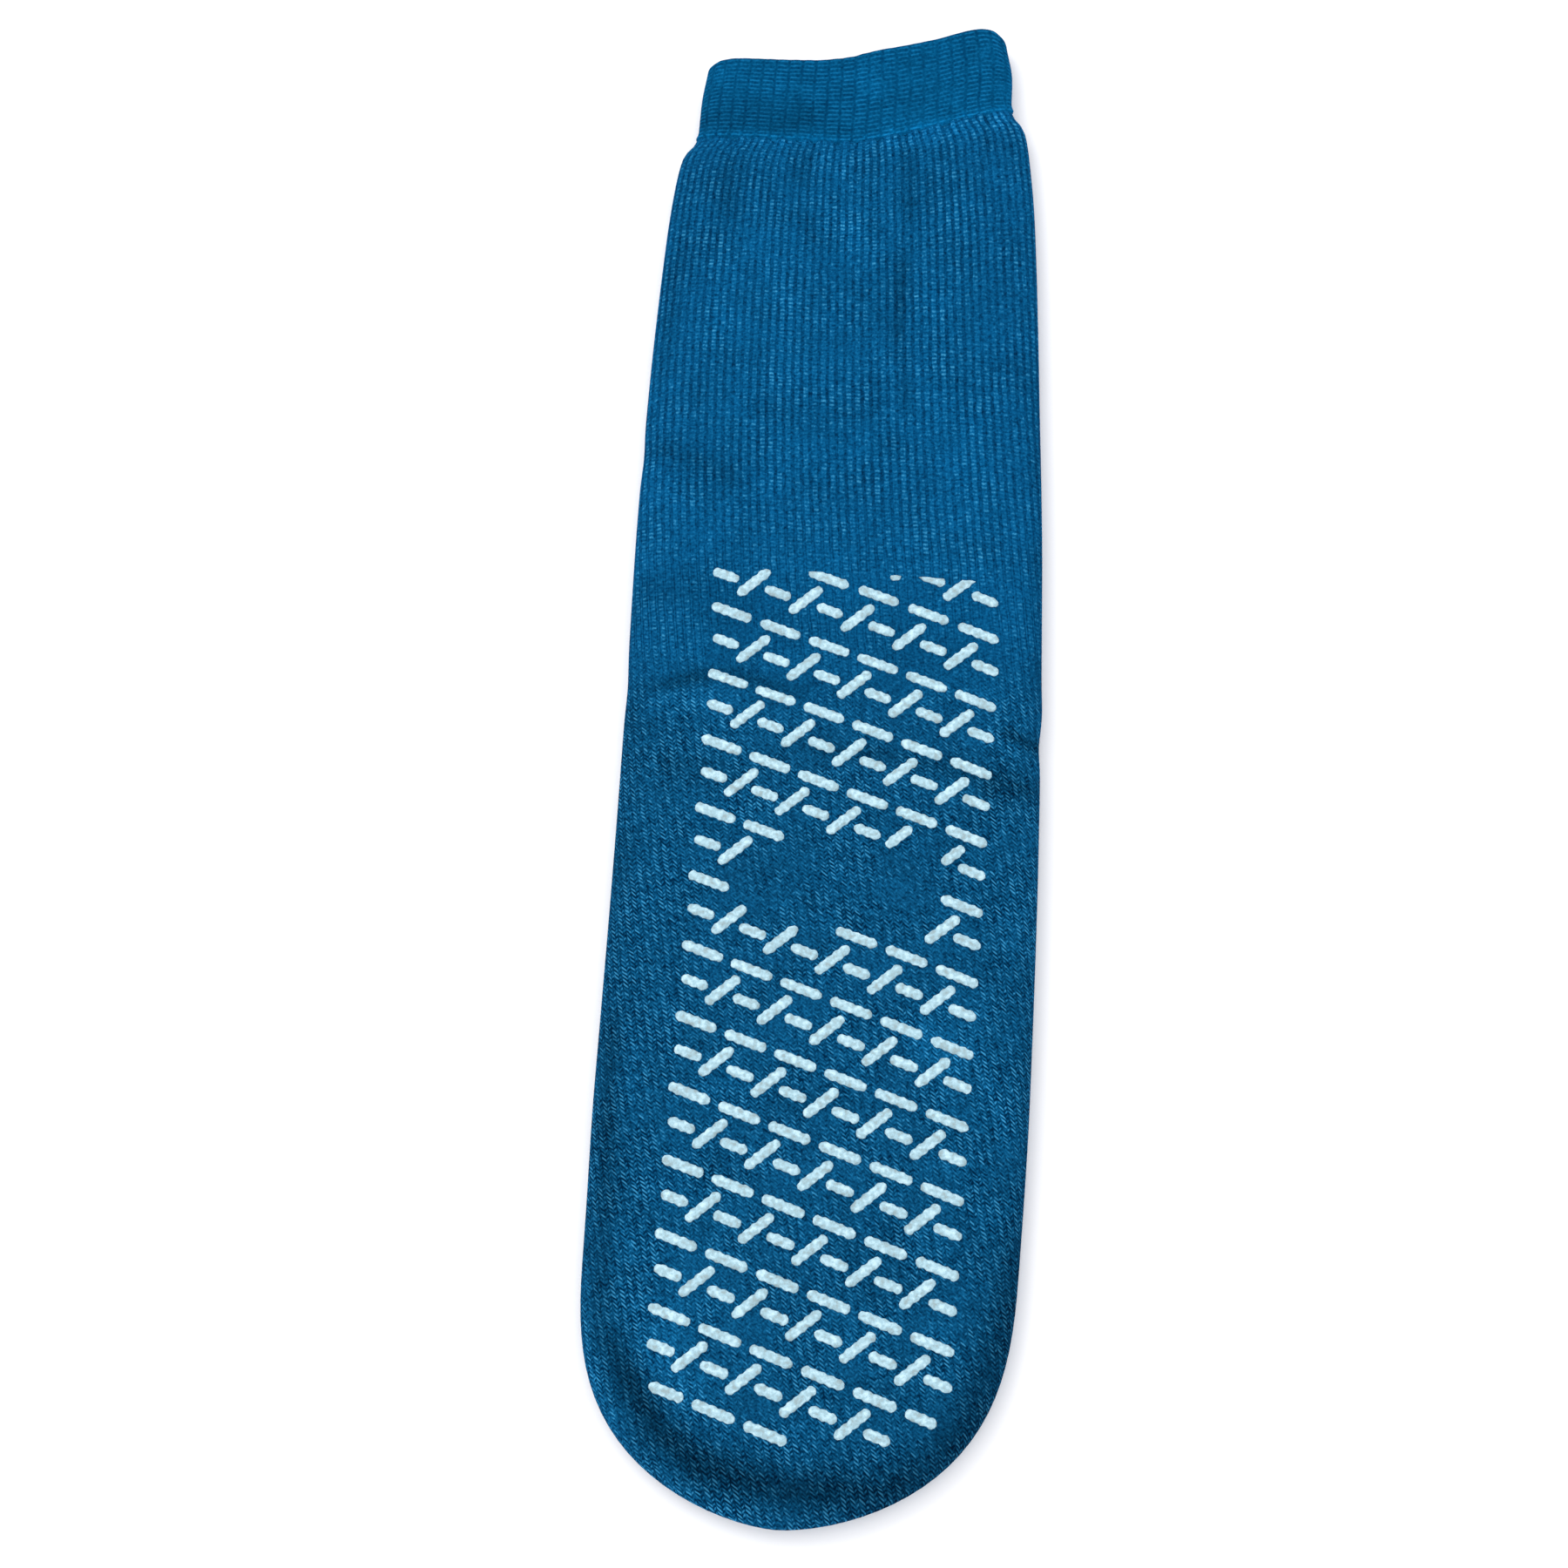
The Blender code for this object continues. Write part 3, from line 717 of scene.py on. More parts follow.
@dataclass(frozen=True)
class MockRib:
    """Doubled mock rib with elastic laid in: ladders of short crosswise floats between sunk columns."""

    shadow: str = "#002d50"
    mean: str = "#024870"
    light: str = "#0e6494"
    rung_height: float = 0.00016
    stray_scale: float = 220.0
    stray: Pair = (0.20, 0.5)
    fuzz_scale: float = 1300.0
    fuzz_share: float = 0.85
    wear_scale: float = 120.0             # the ladders blur over some 8 mm
    wear_limits: Pair = (0.36, 0.64)
    gap_tones: Pair = (0.07, -0.02)       # where worn, and where crisp
    rung_shares: Pair = (0.45, 1.05)      # what is left of a rung there
    ladder_tone: float = 0.12
    rung_tones: Pair = (-0.12, 0.26)      # between the rungs, and on them
    mottle_scale: float = 150.0
    mottle_shades: Pair = (0.86, 1.14)
    roughness: float = 0.93
    gloss: float = 0.01

    def material(self) -> Material:
        """Makes the finish, charted on the piece's own rib and rung numbers.

        Returns:
            The material.
        """
        material, tree, place = new_material("elastic_mock_rib_knit")
        stray = {"Vector": place, "Scale": self.stray_scale, "Detail": 2.0}
        rib, rung, _ = swaying_chart(tree, stray, self.stray)
        wear = add_node(tree, "TexNoise", {"Vector": place, "Scale": self.wear_scale, "Detail": 3.0,
                                           "Roughness": 0.65})
        gap, present = (add_node(tree, "MapRange", {"Value": wear, "From Min": self.wear_limits[0],
                                                    "From Max": self.wear_limits[1],
                                                    "To Min": worn, "To Max": crisp})
                        for worn, crisp in (self.gap_tones, self.rung_shares))
        ladder = soft_comb(tree, rib, (0.02, 0.15), (gap, self.ladder_tone))
        inside = soft_comb(tree, rib, (0.07, 0.17))
        float_yarn = soft_comb(tree, rung, (0.16, 0.46), self.rung_tones)
        seen = add_node(tree, "Math", {0: inside, 1: present}, operation="MULTIPLY")
        step = add_node(tree, "Math", {0: float_yarn, 1: seen, 2: ladder}, operation="MULTIPLY_ADD")
        fuzz = add_node(tree, "TexNoise", {"Vector": place, "Scale": self.fuzz_scale, "Detail": 3.0})
        height = add_node(tree, "Math", {0: fuzz, 1: self.fuzz_share, 2: step}, operation="MULTIPLY_ADD")
        ramp = set_ramp(add_node(tree, "ValToRGB", {"Fac": height}),
                        ((0.22, self.shadow), (0.54, self.mean), (0.90, self.light)))
        mottle = {"Vector": place, "Scale": self.mottle_scale, "Detail": 4.0}
        color = mottled_and_shaded(tree, ramp.outputs["Color"], mottle, (0.30, 0.70), self.mottle_shades)
        cover(tree, {"Base Color": color, "Roughness": self.roughness, "Specular IOR Level": self.gloss},
              {"Height": height, "Distance": self.rung_height, "Strength": 1.0})
        return material


@dataclass(frozen=True)
class PuffVinyl:
    """Foamed vinyl, screen-printed and cured: off-white, slightly waxy, blistered over the stitches under it."""

    # the dark teal of the painted shadow round the dashes' feet
    edge: str = "#2a6384"
    mean: str = "#a0c5d2"
    light: str = "#c0e0ea"
    warm: str = "#92a9ae"
    mottle_scale: float = 760.0
    blister_scale: float = 900.0
    blister_height: float = 0.00040
    roughness: float = 0.7
    refraction: float = 1.5

    def material(self) -> Material:
        """Makes the finish, with a painted shadow in dark teal round the dashes' feet.

        Returns:
            The material.
        """
        material, tree, place = new_material("cured_puff_vinyl")
        rise = add_node(tree, "Attribute", attribute_name="rise").outputs["Fac"]
        mottle = add_node(tree, "TexNoise", {"Vector": place, "Scale": self.mottle_scale, "Detail": 3.0})
        blister = add_node(tree, "TexNoise", {"Vector": place, "Scale": self.blister_scale, "Detail": 2.0})
        skin = set_ramp(add_node(tree, "ValToRGB", {"Fac": mottle}),
                        ((0.32, self.warm), (0.50, self.mean), (0.66, self.light)))
        # at its foot the vinyl is painted dark teal, a painted shadow where the dash meets the yarn
        above_shadow = add_node(tree, "MapRange", {"Value": rise, "From Min": 0.36, "From Max": 0.62},
                         interpolation_type="SMOOTHSTEP")
        color = add_node(tree, "Mix", {"Factor": above_shadow, "A": linear(self.edge), "B": skin}, data_type="RGBA")
        cover(tree, {"Base Color": color.outputs["Result"], "Roughness": self.roughness, "IOR": self.refraction},
              {"Height": blister, "Distance": self.blister_height, "Strength": 1.0})
        return material


@dataclass(frozen=True)
class PaperSweep:
    """Matt white background paper, which the eye sees only as a bright, even ground."""

    color: str = "#fdfdfe"
    roughness: float = 0.9
    tooth_scale: float = 900.0
    tooth_height: float = 0.00002

    def material(self) -> Material:
        """Makes the finish, with the paper's faint tooth.

        Returns:
            The material.
        """
        material, tree, place = new_material("matt_background_paper")
        tooth = add_node(tree, "TexNoise", {"Vector": place, "Scale": self.tooth_scale})
        cover(tree, {"Base Color": linear(self.color), "Roughness": self.roughness, "Specular IOR Level": 0.0},
              {"Height": tooth, "Distance": self.tooth_height, "Strength": 0.2})
        return material


def to_mesh(shape: bmesh.types.BMesh, name: str) -> Mesh:
    """Turns a bmesh into a new mesh, and frees it.

    Args:
        shape: the bmesh.
        name: the mesh's name.

    Returns:
        The mesh.
    """
    mesh = bpy.data.meshes.new(name)
    shape.to_mesh(mesh)
    shape.free()
    return mesh


def add_object(name: str, data: bpy.types.ID) -> Object:
    """Puts a mesh, a lamp or a camera into the scene.

    Args:
        name: the object's name.
        data: the mesh, lamp or camera.

    Returns:
        The object, at the origin.
    """
    made = bpy.data.objects.new(name, data)
    bpy.context.scene.collection.objects.link(made)
    return made


def start_grid(columns: int, rows: int) -> tuple[Mesh, Array, Array, Array]:
    """Starts a piece as a flat grid.

    Args:
        columns: the number of faces one way.
        rows: the number of faces the other way.

    Returns:
        The grid's mesh, each vertex's column and row number, and each face corner's vertex.
    """
    shape = bmesh.new()
    bmesh.ops.create_grid(shape, x_segments=columns, y_segments=rows, size=0.5)
    mesh = to_mesh(shape, "grid")
    flat, corner = np.empty(len(mesh.vertices) * 3), np.empty(len(mesh.loops), dtype=int)
    mesh.vertices.foreach_get("co", flat)
    mesh.loops.foreach_get("vertex_index", corner)
    x, y, _ = flat.reshape(-1, 3).T
    return mesh, np.rint((x + 0.5) * columns).astype(int), np.rint((y + 0.5) * rows).astype(int), corner


def write_chart(mesh: Mesh, across: Array, along: Array) -> None:
    """Writes each face corner's stitch numbers, across and along the wales, as the mesh's UV map."""
    numbers = np.stack([across, along], -1).astype(np.float32)
    mesh.uv_layers.new(name="knit").data.foreach_set("uv", numbers.ravel())


def finish_mesh(name: str, mesh: Mesh, points: Array, attributes: dict[str, Array],
                materials: list[Material]) -> Object:
    """Moves a grid's vertices to their places, closes its seams and makes it an object.

    Args:
        name: the piece's name.
        mesh: the grid.
        points: each vertex's place.
        attributes: a number for each vertex, by name.
        materials: the materials of its slots.

    Returns:
        The piece, in the scene, at the origin.
    """
    mesh.vertices.foreach_set("co", points.astype(np.float32).ravel())
    for label, values in attributes.items():
        mesh.attributes.new(label, "FLOAT", "POINT").data.foreach_set("value", values.astype(np.float32))
    for material in materials:
        mesh.materials.append(material)
    shape = bmesh.new()
    shape.from_mesh(mesh)
    bmesh.ops.remove_doubles(shape, verts=shape.verts, dist=WELD)
    bmesh.ops.recalc_face_normals(shape, faces=shape.faces)
    shape.to_mesh(mesh)
    shape.free()
    mesh.name = name
    mesh.shade_smooth()
    return add_object(name, mesh)


@dataclass
class KnittedTube:
    """Foot and leg: one terry knit tube with a round closed toe, as a skin with its real wall."""

    form: SockForm
    relief: ClothRelief
    columns: int = 208
    toe_rows: int = 26
    body_rows: int = 146
    inner_toe_rows: int = 14
    inner_body_rows: int = 38
    spread_at: float = 0.29                   # the share of the length whose girth spreads the columns evenly
    thinnest: float = 0.05                    # the share of the height that the inside keeps at least
    nose_blend: float = 0.012                 # the relief fades out over the toe's tip
    printed_half: float = 0.0400              # the ground that the print pressed flat: half its width,
    printed_middle: float = 0.004             # where its middle is,
    printed_ends: Pair = (0.018, 0.249)       # and where it starts and ends from the tip
    leg_start: float = 0.190
    leg_blend: float = 0.05
    drawn_start: float = 0.235
    drawn_blend: float = 0.04
    # edge notches and bulges: side, distance from the toe, half length, how far outwards (all but side in mm)
    edge_waves: tuple[tuple[int, float, float, float], ...] = (
        (1, 204.0, 5.0, -0.45), (-1, 281.0, 6.0, -0.35), (1, 214.0, 6.0, 0.25), (-1, 215.0, 7.0, -0.35),
    )

    def rows(self, toe: int, body: int) -> Array:
        """Spreads rows over the tube, close together where the toe closes.

        Args:
            toe: the number of steps in the toe.
            body: the number of steps in the rest.

        Returns:
            The rows' distances from the tip.
        """
        form = self.form
        round_end = form.toe_length * (1.0 - np.cos(np.linspace(0.0, math.pi / 2.0, toe + 1)))
        return np.concatenate([round_end, np.linspace(form.toe_length, form.tube_length, body + 1)[1:]])

    def profile(self) -> tuple[Array, Array]:
        """Goes through the wall, from the inner tip over the rim to the outer one.

        Returns:
            Each row's distance from the tip, and its depth in the wall.
        """
        outer, inner = self.rows(self.toe_rows, self.body_rows), self.rows(self.inner_toe_rows, self.inner_body_rows)
        at = np.concatenate([inner, [self.form.tube_length] * 2, outer[::-1]])
        depth = np.concatenate([np.ones(len(inner)), [0.67, 0.33], np.zeros(len(outer))])
        return at, depth

    def places(self, at: Array, turn: Array, depth: Array) -> tuple[Array, dict[str, Array]]:
        """Where the skin's points lie.

        Args:
            at: distances from the tip.
            turn: places round the tube, from 0 to 1.
            depth: 0 on the outside and 1 on the inside of the wall.

        Returns:
            The points, and for each the painted light and shade of the cloth, and the shares of the print's pressed
            ground, of the leg's stretch knit and of the drawing together by the cuff.
        """
        form = self.form
        u, over = form.across(turn, self.spread_at * form.tube_length)
        half = form.half_width(at)
        room = np.maximum(np.abs(form.skin(at, np.zeros_like(u), over) - form.fold_level), TINY)
        share = np.maximum(1.0 - form.knit_wall * depth / room, np.where(depth > 0.0, self.thinnest, 1.0))
        z = form.fold_level + (form.skin(at, u, over) - form.fold_level) * share
        inner_half = np.where(depth > 0.0, np.maximum(half - form.knit_wall * depth, 0.0), half)
        x = form.middle_line(at) + u * inner_half
        y = at + form.skew(at, u) + form.knit_wall * depth * np.maximum(0.0, 1.0 - at / form.toe_length)
        lift, tone = self.relief.lift(x, y)
        top = np.where(over, self.relief.inwards(u), 0.0) * (1.0 - depth) * quarter_round(at / self.nose_blend)
        z = z + lift * top
        for side, place, length, out in self.edge_waves:
            near = np.exp(-(((at * MM_PER_METRE - place) / length) ** 2)) * np.clip(u * side, 0.0, 1.0) ** 8
            x = x + side * out / MM_PER_METRE * near * (1.0 - depth)
        start, end = self.printed_ends
        printed = ease((self.printed_half - np.abs(x - form.middle_line(at) - self.printed_middle)) / 0.004)
        printed = printed * ease((y - start) / 0.01) * ease((end - y) / 0.004) * over
        # the upper half carries the painted shade and light of its folds, gathers and ridge
        shares = {"tone": np.where(over, tone, 1.0), "printed": printed,
                  "ribbed": ease((at - self.leg_start) / self.leg_blend),
                  "drawn": ease((at - self.drawn_start) / self.drawn_blend)}
        return np.stack([x + form.origin_x, y + form.origin_y, z], -1), shares

    def chart(self, mesh: Mesh, face_turn: Array, turn: Array, at: Array) -> None:
        """Writes the wale and course numbers.

        Args:
            mesh: the grid.
            face_turn: for each face corner, where the middle of its face lies round the tube.
            turn: each face corner's own place round the tube.
            at: each face corner's distance from the tip.
        """
        form, count = self.form, self.form.wales_round
        shrink = form.toe_factor(at)
        over = (face_turn > 0.25) & (face_turn < 0.75)
        below = np.where(face_turn < 0.5, count - turn * count * shrink, (1.0 - turn) * count * shrink)
        wale = np.where(over, count / 2.0 + (0.5 - turn) * count * shrink, below) - form.slant_turns(at)
        write_chart(mesh, wale, at / form.course_pitch)

    def build(self, knit: Material, loops: Material) -> Object:
        """Makes the tube.

        Args:
            knit: the outside's material.
            loops: the inside's material.

        Returns:
            The piece.
        """
        at_rows, depth_rows = self.profile()
        mesh, column, row, corner = start_grid(self.columns, len(at_rows) - 1)
        at, depth, turn = at_rows[row], depth_rows[row], column / self.columns
        face_turn, face_depth = (values[corner].reshape(-1, 4).mean(axis=1) for values in (turn, depth))
        self.chart(mesh, np.repeat(face_turn, 4), turn[corner], at[corner])
        mesh.polygons.foreach_set("material_index", (face_depth > 0.55).astype(np.int32))
        points, shares = self.places(at, turn, depth)
        return finish_mesh("terry_tube", mesh, points, shares, [knit, loops])


@dataclass
class RibCuff:
    """The doubled rib at the top: a closed ring with its ladders, its rounded rim and the welt at its foot, which
    carries a painted highlight.
    """

    form: SockForm
    ribs: int = 48
    columns_per_rib: int = 8
    outer_rows: int = 26
    rim_rows: int = 7
    inner_rows: int = 8
    rim_radius: float = 0.0012
    # the tucked foot's rows, from the joint's gap up to the rib
    foot_rows: tuple[float, ...] = (-0.0018, -0.0013, -0.0008, -0.0004, 0.0)
    tuck_depth: float = 0.0011
    rib_height: float = 0.00014
    # painted shade in the sunk ribs
    rib_shade: float = 0.04
    welt_level: float = 0.0003
    welt_half: float = 0.0010
    welt_height: float = 0.00045
    # the painted highlight on the welt, from the left to the right
    welt_highlights: Pair = (0.45, 0.66)
    welt_highlight_fade: float = 0.26                   # how much dimmer the welt's painted highlight is at the right
    rung_pitch: float = 0.00128
    corner_lifts: Pair = (0.0022, 0.0012)
    # the stretched rim's own wave: place across and how far it stands up, both in mm
    rim_wave: Table = (
        (-38.0, -1.0), (-30.0, -0.8), (-20.0, -0.3), (-14.0, 0.6), (-8.0, 1.9), (-3.0, 2.2), (4.0, 1.7), (13.0, 1.1),
        (22.0, 1.4), (36.0, 1.8),
    )

    def profile(self) -> tuple[Array, Array]:
        """Goes once round the wall.

        Returns:
            Each row's distance from the cuff's foot, and its depth in the wall.
        """
        shoulder = self.form.cuff_height - self.rim_radius
        outer = np.concatenate([self.foot_rows, np.linspace(0.0005, shoulder, self.outer_rows)])
        turn = np.linspace(0.0, math.pi, self.rim_rows + 2)[1:-1]
        inner = np.linspace(shoulder, 0.0004, self.inner_rows)
        at = np.concatenate([outer, shoulder + self.rim_radius * np.sin(turn), inner, [0.0, -0.0002], outer[:1]])
        depth = np.concatenate([np.zeros(len(outer)), (1.0 - np.cos(turn)) / 2.0, np.ones(len(inner)),
                                [0.75, 0.25, 0.0]])
        return at, depth

    def tone(self, x: Array, turn: Array, foot: Array) -> Array:
        """The painted light and shade of the outside: a painted highlight on the welt, and painted shade in the sunk
        ribs.

        Args:
            x: places across, in millimetres.
            turn: places round the ring, from 0 to 1.
            foot: how near each point is to the welt, from 0 to 1.

        Returns:
            The painted light and shade that multiply the colour, less 1.
        """
        bright = mix(*self.welt_highlights, ease((x + 10.0) / 22.0)) - self.welt_highlight_fade * ease((x - 14.0) / 16.0)
        bright = bright * (0.82 + 0.34 * np.cos(turn * self.ribs * 2.0 * FULL_TURN) + 0.16 * np.sin(x * 0.9))
        # the welt's painted highlight, less the painted shade in the sunk ribs
        return foot * bright - self.rib_shade * 0.5 * np.cos(turn * self.ribs * FULL_TURN)

    @staticmethod
    def patches(x: Array, along: Array) -> Array:
        """The soft light and dark patches: darker at the left near the foot, a light spot left of the middle higher up,
        and a little lighter to the right.

        Args:
            x: places across, in millimetres.
            along: distances from the cuff's foot, in metres.

        Returns:
            What they add to the tone.
        """
        dark = -0.22 * ease((-x - 4.0) / 20.0) * np.exp(-((along - 0.006) / 0.007) ** 2)
        light = 0.12 * np.exp(-((x + 5.0) / 8.0) ** 2 - ((along - 0.017) / 0.006) ** 2)
        return dark + light + 0.05 * ease(x / 30.0)

    def places(self, along: Array, turn: Array, depth: Array) -> tuple[Array, Array]:
        """Where the cuff's points lie.

        Args:
            along: distances from the cuff's foot.
            turn: places round the ring, from 0 to 1.
            depth: 0 on the outside and 1 on the inside of the wall.

        Returns:
            The points, and the painted light and shade on the cloth's colour there, with its light and dark patches.
        """
        form = self.form
        at = form.tube_length + form.joint_gap + along
        u, over = form.across(turn, form.tube_length + 0.5 * form.cuff_height)
        room = np.abs(form.skin(at, np.zeros_like(u), over) - form.fold_level)
        outside = 1.0 - depth
        wave = np.cos(turn * self.ribs * FULL_TURN)
        sway = 0.00030 * wave + 0.00022 * np.sin(turn * 190.0)
        foot = np.exp(-((along - self.welt_level - sway) / self.welt_half) ** 2)
        lobes = 0.75 + 0.25 * np.cos(turn * self.ribs * 2.0 * FULL_TURN)
        tucked = self.tuck_depth * ease((-0.0006 - along) / 0.0012)
        sunk_rib = self.rib_height * (-0.5 - 0.5 * wave) * (1.0 - foot)
        rise = (sunk_rib + self.welt_height * foot * lobes - tucked) * outside
        share = 1.0 - (form.cuff_wall * depth - rise) / room
        z = form.fold_level + (form.skin(at, u, over) - form.fold_level) * share
        z = np.where(over, z, np.maximum(z, 0.0))
        x = form.middle_line(at) + u * (form.half_width(at) - form.cuff_wall * depth + rise)
        tall, local = ease(along / form.cuff_height), x * MM_PER_METRE
        step = np.interp(local, *np.array(self.rim_wave).T) / MM_PER_METRE
        corner = np.where(u < 0.0, *self.corner_lifts) * np.abs(u) ** form.corner_power
        y = at + form.skew(at, u) + step * tall * over * (1.0 - np.abs(u) ** 10) + corner * tall
        # painted light and shade on the outside, with the light and dark patches
        tone = 1.0 + self.tone(local, turn, foot) * outside + self.patches(local, along)
        return np.stack([x + form.origin_x, y + form.origin_y, z], -1), tone

    def build(self, rib: Material) -> Object:
        """Makes the cuff.

        Args:
            rib: its material.

        Returns:
            The piece.
        """
        along_rows, depth_rows = self.profile()
        columns = self.ribs * self.columns_per_rib
        mesh, column, row, corner = start_grid(columns, len(along_rows) - 1)
        along, depth, turn = along_rows[row], depth_rows[row], column / columns
        # the rungs go on over the rim, and down the inside
        path = np.where(depth > 0.5, 2.0 * self.form.cuff_height - along, along) / self.rung_pitch
        write_chart(mesh, turn[corner] * self.ribs, path[corner])
        points, tone = self.places(along, turn, depth)
        return finish_mesh("rib_cuff_knit", mesh, points, {"tone": tone}, [rib])


@dataclass(frozen=True)
class DashRow:
    """One row of the print's repeat: where it starts, its step, and the dash that it repeats."""

    first: Pair     # in half widths of the screen, and in pitches of the rows
    step: float                    # in pitches of the dashes
    count: int
    length: float
    angle: float


@dataclass
class GripPrint:
    """The raised dashes of soft vinyl on the sole."""

    form: SockForm
    relief: ClothRelief
    dash_width: float = 0.0033
    dash_height: float = 0.0008
    sunk: float = 0.0005                      # how far a dash reaches down into the cloth
    row_pitch: float = 0.01855
    dash_pitch: float = 0.01446
    row_fall: float = math.radians(-17.8)
    slash_angle: float = math.radians(42.0)
    least_length: float = 0.0032              # a shorter remainder isn't printed
    probes: int = 16
    margin: float = 0.0080                    # from the sock's folds
    middle: float = 0.0057
    half_span: float = 0.0390
    toe_end: float = 0.0200
    corner_rise: float = 0.0119               # the screen's corners at the toe are cut off softly
    corner_power: float = 2.5
    heel_end: float = 0.2472
    heel_fall: float = -0.004
    spill: float = 0.0010
    least_seen: float = 0.0001
    # the cloth's pull at the heel: from where, how far aside and how far up
    heel_pull: Triple = (0.2190, -0.0018, 0.0009)
    pull_reach: float = 0.027
    bare_middle: Pair = (0.0050, 0.1614)
    bare_size: Pair = (0.0499, 0.0222)
    end_reach: float = 0.35                   # how far a rounded end passes the dash's run, in half widths
    end_width: float = 0.02                   # squared, of the last slice, which stays open
    blob: float = 0.00018                     # how far the outline swells over each stitch under it
    ripple: float = 1900.0
    jitter: float = 0.00004
    crown_power: float = 3.2
    lump: float = 0.05
    slices: int = 18
    short_slices: int = 13
    short_run: float = 0.0075
    ribs: int = 4

    def rows(self) -> tuple[DashRow, ...]:
        """Lists the rows of the repeat.

        Returns:
            The rows of long dashes, short dashes and slashes.
        """
        return (
            DashRow((-0.767, 1.660), 0.953, 6, 0.0106, self.row_fall),
            DashRow((-0.800, 2.216), 1.000, 6, 0.0066, self.row_fall),
            DashRow((-0.610, 2.124), 0.999, 5, 0.0100, self.slash_angle),
        )

    def printable(self, x: float, y: float) -> bool:
        """Whether the print's screen lets the vinyl through at a place.

        Args:
            x: its place across, in metres.
            y: its distance from the toe's tip.

        Returns:
            True where it does.
        """
        at = np.array(y)
        if abs(x - self.form.middle_line(at)) >= self.form.half_width(at) - self.margin:
            return False
        rise = self.corner_rise * (abs(x - self.middle) / self.half_span) ** self.corner_power
        if y <= self.toe_end + rise:
            return False
        beside = abs(x - self.bare_middle[0]) > self.bare_size[0] / 2.0
        return beside or abs(y - self.bare_middle[1]) > self.bare_size[1] / 2.0

    def printed_run(self, middle: Pair, length: float, angle: float) -> Pair | None:
        """The part of a dash that the screen prints.

        Args:
            middle: the dash's middle.
            length: its full length.
            angle: its slant.

        Returns:
            The start and end of the printed part along the dash, or None where too little is left.
        """
        shares = [-1.0 + 2.0 * i / self.probes for i in range(self.probes + 1)]
        along = (math.cos(angle) * length / 2.0, math.sin(angle) * length / 2.0)
        kept = [s for s in shares if self.printable(middle[0] + s * along[0], middle[1] + s * along[1])]
        if not kept or (kept[-1] - kept[0]) * length / 2.0 < self.least_length:
            return None
        # a dash that crosses the screen's edge stops a little past it, and its outline is cut there
        climb = along[1] - self.heel_fall * along[0]
        above = middle[1] - float(self.screen_edge(middle[0]))
        reach = (self.spill - above) / climb
        start, end = (kept[0], min(kept[-1], reach)) if climb > 0.0 else (max(kept[0], reach), kept[-1])
        if above + min(start * climb, end * climb) > -self.least_seen:
            return None
        return start * length / 2.0, end * length / 2.0

    def screen_edge(self, x: Array) -> Array:
        """Where the print's screen ends at the heel; dashes that cross it are cut off straight."""
        return self.heel_end + self.heel_fall * x

    def pulled(self, x: float, y: float) -> Pair:
        """Where a place of the even repeat lies on the cloth, which is pulled a little askew at the heel.

        Args:
            x: its place across.
            y: its distance from the toe's tip.

        Returns:
            The place across and the distance from the tip on the cloth.
        """
        start, aside, up = self.heel_pull
        near = max(0.0, (y - start) / self.pull_reach) ** 2
        return x + aside * near, y + up * near * float(ease(np.array((x + 0.020) / 0.030)))

    def dashes(self) -> list[tuple[float, float, float, float, float]]:
        """Lays out the whole print.

        Returns:
            Every dash's middle, slant, and the start and end of its printed part.
        """
        found = []
        for number in range(-2, math.ceil(self.heel_end / self.row_pitch) + 1):
            for row in self.rows():
                x, y = row.first[0] * self.half_span, (row.first[1] + number) * self.row_pitch
                for _ in range(row.count):
                    spot = self.pulled(x, y)
                    run = self.printed_run(spot, row.length, row.angle)
                    if run is not None:
                        found.append((*spot, row.angle, *run))
                    x += math.cos(self.row_fall) * row.step * self.dash_pitch
                    y += math.sin(self.row_fall) * row.step * self.dash_pitch
        return found

    def skin_level(self, x: Array, y: Array) -> Array:
        """The cloth's height at places of the sole.

        Args:
            x: places across, in metres.
            y: distances from the toe's tip.

        Returns:
            The heights.
        """
        u = (x - self.form.middle_line(y)) / self.form.half_width(y)
        lift, _ = self.relief.lift(x, y)
        return self.form.level(y, u, Side.OVER) + lift * self.relief.inwards(u)

    def dash_points(self, dash: tuple[float, float, float, float, float], along: Array,
                    across: Array, seed: int) -> tuple[Array, Array]:
        """Shapes one dash from a flat grid.

        Args:
            dash: its middle, slant, start and end.
            along: each vertex's place along it, from -1 to 1.
            across: each vertex's place across it, from -1 to 1.
            seed: the dash's number, which varies its outline.

        Returns:
            The points, and each one's rise from 0 at the foot to 1 on the crown.
        """
        x, y, slant, start, end = dash
        radius = self.dash_width / 2.0
        half = (end - start) / 2.0 + radius * self.end_reach
        run = along * half
        # rounded ends: the width closes like a circle over the last half width
        past = np.clip((np.abs(run) - half + radius) / radius, 0.0, 1.0)
        closing = np.sqrt(np.clip(1.0 - past ** 2, self.end_width, 1.0))
        wale = self.form.ball_width * 2.0 / self.form.wales_round
        lobes = np.cos((x * math.cos(slant) + run) / wale * FULL_TURN * 1.04 + seed * 1.7)
        wobble = lobes + 0.5 * np.sin(run * self.ripple + seed * 2.3)
        side = across * (radius + self.blob * wobble + self.jitter * math.sin(seed * 12.9898)) * closing
        rise = np.clip(1.0 - np.abs(across) ** self.crown_power, 0.0, 1.0) * np.sqrt(closing)
        middle = (start + end) / 2.0
        px = x + math.cos(slant) * (middle + run) - math.sin(slant) * side
        py = np.minimum(y + math.sin(slant) * (middle + run) + math.cos(slant) * side, self.screen_edge(px))
        height = self.dash_height * (1.0 + self.lump * lobes) + self.sunk
        pz = self.skin_level(px, py) + height * rise - self.sunk
        return np.stack([px + self.form.origin_x, py + self.form.origin_y, pz], -1), rise

